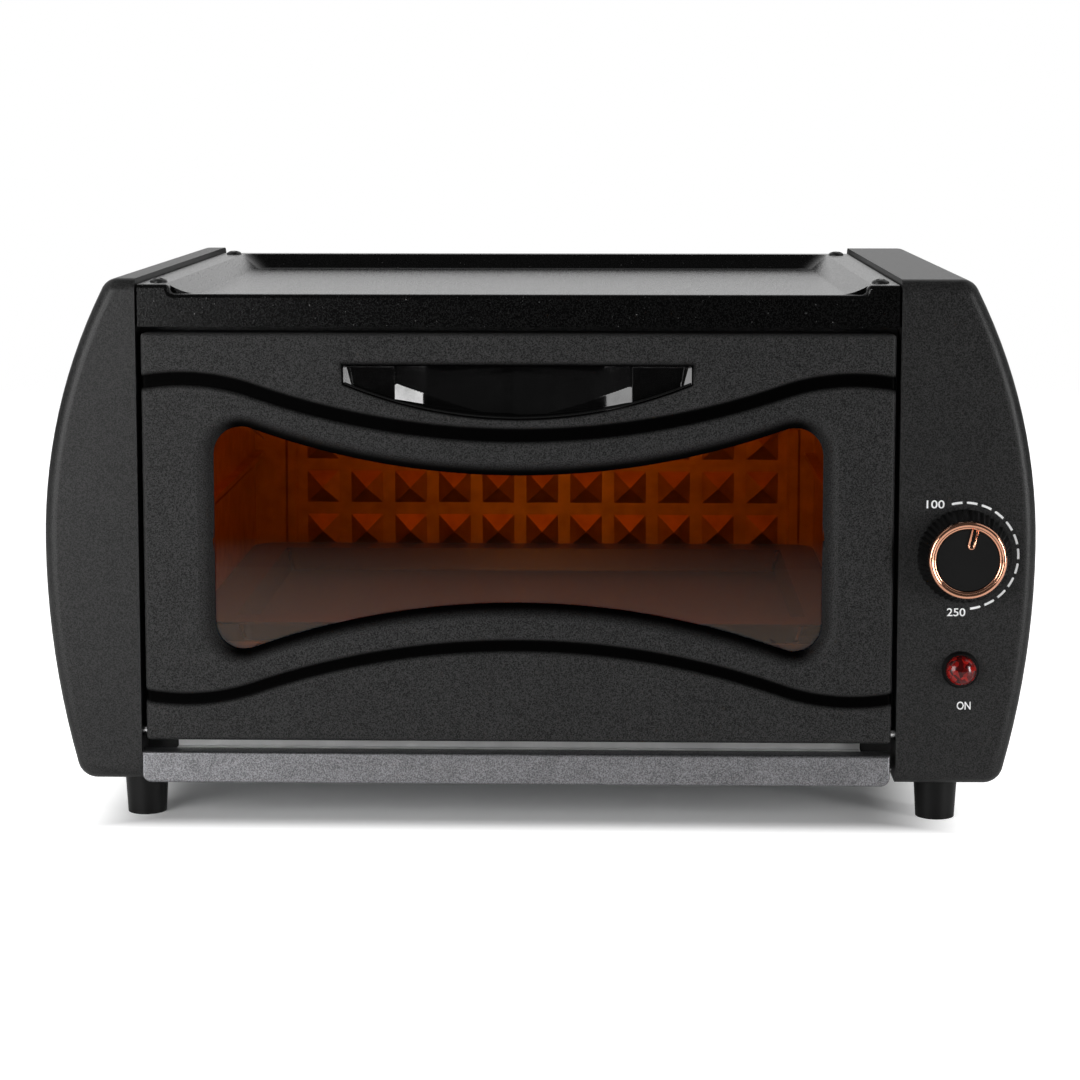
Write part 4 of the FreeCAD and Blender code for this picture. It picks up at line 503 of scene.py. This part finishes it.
def face_painted_shade(x, z):
    """Painted shade, 0 to 1: how deep in a groove, border or the handle's hollow a place of the door lies.
    """
    dark = 1 - smooth((window_distance(x, z) - 1.0) / (BORDER - 1.5))
    # less painted shade on the border at the window's left and right sides, where the lamps light its
    # slopes
    dark = dark * (1 - 0.55 * smooth((np.abs(x - DOOR_MID) - WINDOW_HALF + 9.0) / 9.0))
    for up, height, width in WAVES:
        beyond = np.abs(wave_offset(x, z, up, height))
        dark = np.maximum(dark, 1 - smooth((beyond - width / 2 + 0.9) / 1.5))
    return np.maximum(dark, 1 - smooth(handle_distance(x, z) / (1.15 * halo_reach(x, z))))


def handle_outline(grow):
    """The handle's edge, widened by grow."""
    half = HANDLE_HALF + grow
    points = []
    for step in range(-50, 51):
        x = half * step / 50
        low = float(handle_bottom(DOOR_MID + x * HANDLE_HALF / half))
        points.append((DOOR_MID + x, low - grow))
    return points + [(DOOR_MID + half, HANDLE_TOP + grow), (DOOR_MID - half, HANDLE_TOP + grow)]


def door_rim(inset):
    """The door's outline, drawn in by inset, with small round corners."""
    radius = max(2.0 - inset, 0.3)
    points = []
    x = DOOR_HALF - inset - radius
    z0 = DOOR_LOW + inset + radius
    z1 = DOOR_HIGH - inset - radius
    corners = ((x, z1, 0), (-x, z1, 90), (-x, z0, 180), (x, z0, 270))
    for (cx, cz, start), (nx, nz, _) in zip(corners, corners[1:] + corners[:1]):
        for step in range(5):
            angle = math.radians(start + 90 * step / 4)
            last = (DOOR_MID + cx + radius * math.cos(angle), cz + radius * math.sin(angle))
            points.append(last)
        angle = math.radians(start + 90)
        nxt = (DOOR_MID + nx + radius * math.cos(angle), nz + radius * math.sin(angle))
        count = max(int(math.dist(last, nxt) / 3), 1)
        points += [(last[0] + (nxt[0] - last[0]) * k / count, last[1] + (nxt[1] - last[1]) * k / count)
                   for k in range(1, count)]
    return points


def door_face():
    """The pressed outer skin of the door with its turned-back edges."""
    corners = []
    edges = []

    def add(points, closed):
        first = len(corners)
        corners.extend(Vector(p) for p in points)
        edges.extend((first + k, first + k + 1) for k in range(len(points) - 1))
        if closed:
            edges.append((first + len(points) - 1, first))

    rim = door_rim(0.0)
    opening = window_outline(0.0)
    mouth = handle_outline(0.0)
    add(rim, True)
    for inset in (0.12, 0.4, 0.8, 1.25, EDGE):
        add(door_rim(inset), True)
    add(opening, True)
    for grow in (0.25, 0.7, 1.3, 2.0, 2.8, 3.7, 4.6, 5.5, BORDER):
        add(window_outline(grow), True)
    add(mouth, True)
    for grow in (0.25, 0.6, 1.1, 1.6, 2.2, HALO, 3.3):
        add(handle_outline(grow), True)
    for up, height, width in WAVES:
        half = width / 2
        for offset in (0, half - 1.2, half - 0.7, half - 0.2, half + 0.3, half + 0.7, half + 1.0):
            for sign in (-1, 1) if offset else (1,):
                add(wave_line(up, height, sign * offset), False)
    found = geometry.delaunay_2d_cdt(corners, edges, [], 0, 1e-4)
    flat, triangles = found[0], found[2]
    x = np.array([p.x for p in flat])
    z = np.array([p.y for p in flat])
    depth = face_depth(x, z)
    step = 0.06
    slope_x = (face_depth(x + step, z) - face_depth(x - step, z)) / (2 * step)
    slope_z = (face_depth(x, z + step) - face_depth(x, z - step)) / (2 * step)
    vertices = [(a, FRONT + dep, b) for a, dep, b in zip(x, depth, z)]
    normals = [(sx, -1, sz) for sx, sz in zip(slope_x, slope_z)]
    shade = list(face_painted_shade(x, z))
    faces = []
    for triangle in triangles:
        mid_x = np.array(sum(x[k] for k in triangle) / 3)
        mid_z = np.array(sum(z[k] for k in triangle) / 3)
        in_handle = abs(mid_x - DOOR_MID) < HANDLE_HALF and handle_bottom(mid_x) < mid_z < HANDLE_TOP
        if window_distance(mid_x, mid_z) < 0 or in_handle:
            continue
        faces.append(tuple(triangle))

    def wall(loop, y_end, inward):
        """Joins an edge loop of the face to the same loop further back."""
        first = len(vertices)
        count = len(loop)
        for k, (a, b) in enumerate(loop):
            before, after = loop[k - 1], loop[(k + 1) % count]
            out = Vector((after[1] - before[1], 0, before[0] - after[0]))
            if inward:
                out = -out
            here = float(face_depth(np.array(a), np.array(b)))
            vertices.append((a, FRONT + here, b))
            vertices.append((a, y_end, b))
            normals.extend((out, out))
            shade.extend((float(face_painted_shade(np.array(a), np.array(b))),) * 2)
        for k in range(count):
            n = (k + 1) % count
            faces.append((first + 2 * k, first + 2 * k + 1, first + 2 * n + 1, first + 2 * n))

    def clockwise(loop):
        area = sum(p[0] * q[1] - q[0] * p[1] for p, q in zip(loop, loop[1:] + loop[:1]))
        return loop if area > 0 else loop[::-1]

    wall(clockwise(rim), DOOR_BACK, False)
    wall(clockwise(opening), FRONT + WINDOW_DEPTH + 0.8, True)
    wall(clockwise(mouth), DOOR_BACK, True)
    made = piece("door_face", vertices, faces, door_black, "door", normals)
    # the painted shade of grooves, border and handle rim goes to the door's material as the attribute
    # pressed
    made.data.attributes.new("pressed", "FLOAT", "POINT").data.foreach_set("value", shade)
    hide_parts("door_outer_panel")


door_face()


# ------------------------------------------------------------ handle

SIDE_SLOPES = (0.58, 0.43)    # left and right
SIDE_FLATS = (10.5, 8.0)
SIDE_EASE = 4.0
LEAN = 0.55
LEAN_FADE = 40.0


def handle_depth(x, z):
    """Depth of the moulded pocket: end facets, a shelf at each end and the bowl for the fingers."""
    from_low = z - handle_bottom(x)
    from_top = HANDLE_TOP - z
    share = np.clip(from_low / (from_low + from_top), 0, 1)
    # end facets, wide below and narrow above
    end = np.clip(HANDLE_HALF - np.abs(x - DOOR_MID) - 0.2, 0, None)
    turn = 3.3 - 2.2 * share
    ends = np.minimum(np.where(x < DOOR_MID, *SIDE_SLOPES) * end + 0.9 * np.clip(end - turn, 0, None), 2.6)
    # the bowl starts at a sharp step; its side is flat below and leans back above a falling line
    inward = np.clip(GRIP_HALF - np.abs(x - GRIP_MID), 0, None)
    slope = np.where(x < GRIP_MID, *SIDE_SLOPES)
    flat = np.where(x < GRIP_MID, *SIDE_FLATS)
    eased = SIDE_EASE * (1 - np.exp(-np.clip(inward - flat, 0, None) / SIDE_EASE))
    side = slope * (np.minimum(inward, flat) + eased)
    rounding = 1.5
    corner = np.clip(rounding - inward, 0, None)
    edge = 7.3 - 0.18 * inward - (rounding - np.sqrt(rounding ** 2 - corner ** 2))
    lean = LEAN * np.clip(from_low - edge, 0, None) * smooth(inward / 0.3) * np.exp(-inward / LEAN_FADE)
    bowl = 0.2 * smooth(inward / 0.15) + side + lean
    return (ends * smooth(np.minimum(from_low, from_top) / 0.6)
            + bowl * smooth(from_low / 1.0) * smooth(from_top / 0.5))


def door_handle():
    """The moulded grip: its pocket, with fine columns at the facets and steps, and its box behind."""
    step_left = GRIP_MID - DOOR_MID - GRIP_HALF
    step_right = GRIP_MID - DOOR_MID + GRIP_HALF
    columns = sorted({round(float(v), 3) for v in
                      [*np.linspace(-HANDLE_HALF, -HANDLE_HALF + 4, 33),
                       *np.linspace(-HANDLE_HALF + 4.5, step_left - 0.3, 12),
                       *np.linspace(step_left - 0.15, step_left + 0.3, 7),
                       *np.linspace(step_left + 0.45, step_left + 16, 61), *np.linspace(-31, 28, 50),
                       *np.linspace(step_right - 16, step_right - 0.45, 61),
                       *np.linspace(step_right - 0.3, step_right + 0.15, 7),
                       *np.linspace(step_right + 0.3, HANDLE_HALF - 4.5, 12),
                       *np.linspace(HANDLE_HALF - 4, HANDLE_HALF, 33)]})
    near_edge = [0, 0.006, 0.015, 0.03, 0.045, 0.06]
    between = [0.06 + 0.88 * k / 48 for k in range(1, 48)]
    shares = near_edge + between + [1 - share for share in reversed(near_edge)]
    vertices = []
    for across in columns:
        for share in shares:
            x = DOOR_MID + across
            low = float(handle_bottom(x))
            z = low + share * (HANDLE_TOP - low)
            vertices.append((x, FRONT + 0.15 + float(handle_depth(x, z)), z))
    step = 0.05
    x = np.array([v[0] for v in vertices])
    z = np.array([v[2] for v in vertices])
    x_in = np.clip(x, DOOR_MID - HANDLE_HALF + step, DOOR_MID + HANDLE_HALF - step)
    z_in = np.clip(z, handle_bottom(x_in) + 2 * step, HANDLE_TOP - 2 * step)
    slope_x = (handle_depth(x_in + step, z_in) - handle_depth(x_in - step, z_in)) / (2 * step)
    slope_z = (handle_depth(x_in, z_in + step) - handle_depth(x_in, z_in - step)) / (2 * step)
    normals = [(sx, -1, sz) for sx, sz in zip(slope_x, slope_z)]
    rows = len(shares)
    faces = []
    for i in range(len(columns) - 1):
        for j in range(rows - 1):
            a = i * rows + j
            faces.append((a, a + rows, a + rows + 1, a + 1))
    # the skirt that sits in the door
    loop = [i * rows for i in range(len(columns))]
    loop += [(len(columns) - 1) * rows + j for j in range(1, rows)]
    loop += [i * rows + rows - 1 for i in range(len(columns) - 2, -1, -1)]
    loop += [j for j in range(rows - 2, 0, -1)]
    first = len(vertices)
    count = len(loop)
    for y in (None, HANDLE_BACK):
        for k, index in enumerate(loop):
            px, py, pz = vertices[index]
            before, after = vertices[loop[k - 1]], vertices[loop[(k + 1) % count]]
            vertices.append((px, py if y is None else y, pz))
            normals.append((after[2] - before[2], 0, before[0] - after[0]))
    faces += band(first, first + count, count, flip=True)
    back = len(vertices)
    for index in loop:
        vertices.append((vertices[index][0], HANDLE_BACK, vertices[index][2]))
        normals.append((0, 1, 0))
    faces.append(tuple(range(back, back + count)))
    made = piece("handle_pocket", vertices, faces, handle_gloss, "door", normals)
    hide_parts("door_handle")


def door_handle_lip():
    """Thin rolled bead along the lower edge of the grip."""
    line = []
    for step in range(-60, 61):
        x = DOOR_MID + (HANDLE_HALF - 0.7) * step / 60
        line.append((x, float(handle_bottom(x)) + 0.75))
    radius = 0.4
    vertices, faces = bead(line, radius, radius, 10)
    vertices = [(x, FRONT + 0.1 + y, z) for x, y, z in vertices]
    made = piece("handle_lip", vertices, faces, knob_black, "door")


door_handle()
door_handle_lip()


# ------------------------------------------------------------ pilot lamp lens

def lamp_lens():
    """Domed lens on its stem."""
    low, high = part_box("indicator_lens")
    radius = (high.x - low.x) / 2 / MM
    front, back = low.y / MM, high.y / MM
    dome = min(4.2, back - front)
    vertices = []
    faces = []
    rings = [(math.cos(math.radians(a)), 1 - math.sin(math.radians(a))) for a in range(0, 86, 7)]
    sides = 36
    levels = [(1.0, back)] + [(share, front + deep * dome) for share, deep in rings]
    for share, y in levels:
        for across, up in circle(sides):
            vertices.append((LAMP[0] + radius * share * across, y, LAMP[1] + radius * share * up))
    for level in range(len(levels) - 1):
        faces += band(level * sides, (level + 1) * sides, sides)
    vertices.append((LAMP[0], front, LAMP[1]))
    last = (len(levels) - 1) * sides
    for s in range(sides):
        faces.append((last + s, last + (s + 1) % sides, len(vertices) - 1))
    faces.append(tuple(range(sides)))
    made = piece("lamp_lens", vertices, faces, lens_red, "casing")
    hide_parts("indicator_lens")


lamp_lens()


# ------------------------------------------------------------ knob ring and pointer

RING_PROFILE = ((15.15, 2.4), (15.12, 1.1), (15.0, 0.72), (14.75, 0.36), (14.4, 0.12), (14.05, 0.02),
                (13.75, 0.05), (13.5, 0.22), (13.3, 0.3), (13.05, 0.26), (12.8, 0.28), (12.5, 0.45),
                (12.25, 0.72), (12.08, 1.05), (12.02, 2.4))


def knob_ring():
    """Plated ring turned to a rolled crown with a shallow groove before its inner slope."""
    sides = 120
    vertices = []
    faces = []
    for radius, deep in RING_PROFILE:
        for up, across in circle(sides):
            vertices.append((KNOB[0] + radius * across, RING_FRONT + deep, KNOB[1] + radius * up))
    rows = len(RING_PROFILE)
    for row in range(rows):
        faces += band(row * sides, (row + 1) % rows * sides, sides, flip=True)
    made = piece("ring_crown", vertices, faces, knob_copper, "knob")
    made.modifiers.new("edges", "EDGE_SPLIT").split_angle = math.radians(60)
    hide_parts("knob_ring")


def knob_pointer():
    """Raised U with round legs, open towards the ring."""
    half, top, bottom, radius = 1.05, 12.6, 4.8, 0.5
    path = [(-half, top), (-half, bottom + half)]
    for step in range(1, 8):
        angle = math.pi * step / 8
        path.append((-half * math.cos(angle), bottom + half - half * math.sin(angle)))
    path += [(half, bottom + half), (half, top)]
    across, along = math.cos(POINTER_TILT), math.sin(POINTER_TILT)
    legs, faces = bead(path, radius, 0.55, 12)
    vertices = [(KNOB[0] + x * across + z * along, RING_FRONT + 0.6 + y, KNOB[1] + z * across - x * along)
                for x, y, z in legs]
    made = piece("pointer_legs", vertices, faces, knob_copper, "knob")
    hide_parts("knob_pointer")


knob_ring()
knob_pointer()


# ------------------------------------------------------------ cover screws

def cover_screws():
    """Low domed heads with a cross recess, on their shanks."""
    sides = 64
    rings = [(0.0, 1.7), (0.5, 1.69), (0.9, 1.67), (1.3, 1.62), (1.7, 1.55), (2.1, 1.45), (2.5, 1.3),
             (2.9, 1.1), (3.2, 0.86), (3.42, 0.5), (3.5, 0.0), (1.7, 0.0), (1.7, -SCREW_SHANK)]
    vertices = []
    faces = []
    for x in SCREW_X:
        for y in SCREW_Y:
            first = len(vertices)
            for radius, rise in rings:
                for across, along in circle(sides):
                    dx, dy = radius * across, radius * along
                    arm = min(abs(dx + dy), abs(dx - dy)) / math.sqrt(2)
                    sunk = 0.8 if rise > 1.4 and arm < 0.42 and radius < 2.2 else 0.0
                    vertices.append((x + dx, y + dy, FLANGE + rise - sunk))
            for row in range(len(rings) - 1):
                faces += band(first + row * sides, first + (row + 1) * sides, sides, flip=True)
            faces.append(tuple(range(len(vertices) - sides, len(vertices))))
    made = piece("domed_screws", vertices, faces, screw_black, "casing")
    made.modifiers.new("edges", "EDGE_SPLIT").split_angle = math.radians(40)
    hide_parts("cover_screws")


cover_screws()


# ------------------------------------------------------------ printed dial

def dial_dashes():
    """Printed arc of round-ended dashes beside the knob."""
    vertices = []
    faces = []
    radius, stroke = 21.0, 0.9
    first, last, gap, count = -14.4, 173.6, 4, 12
    pitch = (last - first + gap) / count
    cap = math.degrees(stroke / 2 / radius)
    steps = 8
    for k in range(count):
        start = first + pitch * k
        end = start + pitch - gap
        outline = []
        for s in range(steps + 1):
            angle = math.radians(start + cap + (end - start - 2 * cap) * s / steps)
            outline.append((radius + stroke / 2, angle, 0))
        for s in range(1, 6):
            outline.append((radius, math.radians(end - cap), 90 - 180 * s / 6))
        for s in range(steps, -1, -1):
            angle = math.radians(start + cap + (end - start - 2 * cap) * s / steps)
            outline.append((radius - stroke / 2, angle, 0))
        for s in range(1, 6):
            outline.append((radius, math.radians(start + cap), -90 - 180 * s / 6))
        begin = len(vertices)
        for r, angle, turn in outline:
            x = KNOB[0] + r * math.sin(angle)
            z = KNOB[1] + r * math.cos(angle)
            if turn:
                bend = math.radians(turn)
                x += stroke / 2 * (math.sin(bend) * math.sin(angle) + math.cos(bend) * math.cos(angle))
                z += stroke / 2 * (math.sin(bend) * math.cos(angle) - math.cos(bend) * math.sin(angle))
            vertices.append((x, PRINT_Y, z))
        faces.append(tuple(range(begin, len(vertices))))
    made = piece("dial_dashes", vertices, faces, print_white, "casing")


def printed(name, words, x, z, width, cap_height=3.2):
    """Plain lettering centred on x, z, as a thin mesh."""
    curve = bpy.data.curves.new(name, "FONT")
    curve.body = words
    curve.align_x = "CENTER"
    curve.offset = 0.012
    curve.extrude = 0.002
    text = bpy.data.objects.new(name, curve)
    SCENE.collection.objects.link(text)
    bpy.context.view_layer.update()
    mesh = bpy.data.meshes.new_from_object(text.evaluated_get(bpy.context.evaluated_depsgraph_get()))
    bpy.data.objects.remove(text)
    places = np.array([v.co for v in mesh.vertices])
    low, high = places.min(0), places.max(0)
    for vertex in mesh.vertices:
        across = (vertex.co.x - (low[0] + high[0]) / 2) / (high[0] - low[0]) * width
        upward = (vertex.co.y - (low[1] + high[1]) / 2) / (high[1] - low[1]) * cap_height
        vertex.co = Vector((x + across, PRINT_Y + 0.02 - vertex.co.z, z + upward)) * MM
    mesh.materials.clear()
    mesh.materials.append(print_white.material)
    made = bpy.data.objects.new(name, mesh)
    SCENE.collection.objects.link(made)
    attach(made, "casing")


dial_dashes()
printed("dial_low_number", "100", 155.0, 129.7, 7.0)
printed("dial_high_number", "250", 163.7, 87.1, 7.2)
printed("lamp_word", "ON", 167.3, 49.9, 5.4)

# ------------------------------------------------------------ studio

camera_data = bpy.data.cameras.new("camera")
camera_data.lens = 91.58
camera_data.sensor_width = 36.0
camera_data.shift_y = -0.1
camera_data.clip_start = 0.05
camera = bpy.data.objects.new("camera", camera_data)
SCENE.collection.objects.link(camera)
YAW = math.radians(1.53)
PITCH = math.radians(6.58)
look = Vector((-math.sin(YAW) * math.cos(PITCH), math.cos(YAW) * math.cos(PITCH), -math.sin(PITCH)))
camera.location = (0.0292, -1.1899, 0.2804)
camera.rotation_mode = "QUATERNION"
camera.rotation_quaternion = look.to_track_quat("-Z", "Y")
SCENE.camera = camera

# white table in metres, with the oven's shadow; its emission is only what is seen of it
OVEN_MID = -0.008
OVEN_HALF = 0.15
OVEN_FRONT = -0.118
MIRRORED = 0.3
floor_mesh = bpy.data.meshes.new("table_top")
floor_mesh.from_pydata([(-3, -1.2, 0), (3, -1.2, 0), (3, 3, 0), (-3, 3, 0)], [], [(0, 1, 2, 3)])
table_finish = Shader("table_white")
table_finish.colour(table_finish.ramp(table_finish.noise(200.0), (0.3, 0.86), (0.7, 0.9)))
table_finish.roughness(table_finish.ramp(table_finish.noise(2.0), (0.3, 0.5), (0.7, 0.6)))
table_finish.bump(table_finish.noise(2.0), 0.01)
table_finish.set(Emission_Color=(1, 1, 1, 1))


def table_math(kind, first, second=0.0):
    node = table_finish.add("ShaderNodeMath", operation=kind)
    for socket, value in zip(node.inputs, (first, second)):
        if hasattr(value, "links"):
            table_finish.link(value, socket)
        else:
            socket.default_value = value
    return node.outputs[0]


def table_range(source, start, end, easing="SMOOTHSTEP"):
    """From 0 to 1 as the source goes from start to end."""
    node = table_finish.add("ShaderNodeMapRange", interpolation_type=easing)
    for socket, value in zip(("From Min", "From Max"), (start, end)):
        node.inputs[socket].default_value = value
    table_finish.link(source, node.inputs["Value"])
    return node.outputs["Result"]


# it fades away where nobody looks: in front, so the glass mirrors it only low down, and far off
spot = table_finish.add("ShaderNodeSeparateXYZ")
table_finish.link(table_finish.places, spot.inputs[0])
reach = table_finish.add("ShaderNodeVectorMath", operation="LENGTH")
table_finish.link(table_finish.places, reach.inputs[0])
front_fade = table_range(spot.outputs["Y"], -0.86, -0.42, "LINEAR")
far_fade = table_range(reach.outputs["Value"], 1.7, 1.1, "LINEAR")
table_finish.link(table_math("MULTIPLY", front_fade, far_fade), table_finish.surface.inputs["Alpha"])

# white to the eye, and dimmer in metal and glass, wherever the oven's shadow has ended
off_middle = table_math("ABSOLUTE", table_math("SUBTRACT", spot.outputs["X"], OVEN_MID))
beside = table_math("SUBTRACT", off_middle, OVEN_HALF)
ahead = table_math("SUBTRACT", OVEN_FRONT, spot.outputs["Y"])
clear = table_math("MAXIMUM", table_range(beside, -0.012, 0.045), table_range(ahead, -0.006, 0.026))
seen = table_finish.add("ShaderNodeLightPath")
mirrored = table_math("MAXIMUM", seen.outputs["Is Glossy Ray"], seen.outputs["Is Transmission Ray"])
rays = table_math("MAXIMUM", seen.outputs["Is Camera Ray"], table_math("MULTIPLY", mirrored, MIRRORED))
table_finish.link(table_math("MULTIPLY", clear, rays), table_finish.surface.inputs["Emission Strength"])
floor_mesh.materials.append(table_finish.material)
table_top = bpy.data.objects.new("table_top", floor_mesh)
SCENE.collection.objects.link(table_top)


def softbox(name, at, aim, wide, tall, watts, colour=(1, 1, 1)):
    """A rectangular lamp that the camera doesn't see."""
    data = bpy.data.lights.new(name, "AREA")
    data.shape = "RECTANGLE"
    data.size = wide
    data.size_y = tall
    data.energy = watts
    data.color = colour
    lamp = bpy.data.objects.new(name, data)
    lamp.location = at
    lamp.rotation_mode = "QUATERNION"
    lamp.rotation_quaternion = (Vector(aim) - Vector(at)).to_track_quat("-Z", "Y")
    lamp.visible_camera = False
    SCENE.collection.objects.link(lamp)


DOOR_PLACE = (0, -0.12, 0.14)
MIDDLE = (0, 0.1, 0)
softbox("left_card", (-0.56, -0.7, 0.25), DOOR_PLACE, 0.5, 0.46, 5.0)
softbox("right_card", (0.78, -0.62, 0.17), DOOR_PLACE, 0.16, 0.38, 3.6)
softbox("left_high_box", (-1.35, 0.1, 1.35), MIDDLE, 1.3, 1.5, 5)
softbox("right_high_box", (1.35, 0.1, 1.35), MIDDLE, 1.3, 1.5, 5)
# inside the chamber, for the warm light of its elements
softbox("oven_light", (OVEN_MID, -0.085, 0.14), (OVEN_MID, 0.11, 0.14), 0.05, 0.02, 0.045, (1.0, 0.75, 0.4))
softbox("red_glow", (OVEN_MID, -0.02, 0.185), (OVEN_MID, 0.0, 0.0), 0.2, 0.14, 0.11, (1.0, 0.22, 0.08))

# white to the camera; what the oven mirrors is white behind it, above the horizon, and dark in front
world = bpy.data.worlds.new("studio")
world.use_nodes = True
SCENE.world = world
sky = world.node_tree
background = sky.nodes["Background"]
paths = sky.nodes.new("ShaderNodeLightPath")
direction = sky.nodes.new("ShaderNodeTexCoord")
split = sky.nodes.new("ShaderNodeSeparateXYZ")
sky.links.new(direction.outputs["Generated"], split.inputs[0])


def sky_range(axis, start, end, low, high):
    """The sky's brightness from low to high as a direction's axis goes from start to end."""
    node = sky.nodes.new("ShaderNodeMapRange")
    node.interpolation_type = "SMOOTHSTEP"
    for socket, value in zip(("From Min", "From Max", "To Min", "To Max"), (start, end, low, high)):
        node.inputs[socket].default_value = value
    sky.links.new(split.outputs[axis], node.inputs["Value"])
    return node.outputs["Result"]


shade = sky.nodes.new("ShaderNodeMath")
shade.operation = "MULTIPLY"
sky.links.new(sky_range("Z", 0.028, 0.054, 0.02, 1.05), shade.inputs[0])
sky.links.new(sky_range("Y", 0.3, 0.9, 0.07, 1.0), shade.inputs[1])
choose = sky.nodes.new("ShaderNodeMix")
choose.data_type = "RGBA"
choose.inputs[7].default_value = (1, 1, 1, 1)
sky.links.new(shade.outputs[0], choose.inputs[6])
sky.links.new(paths.outputs["Is Camera Ray"], choose.inputs[0])
sky.links.new(choose.outputs[2], background.inputs["Color"])

SCENE.view_settings.view_transform = "Standard"
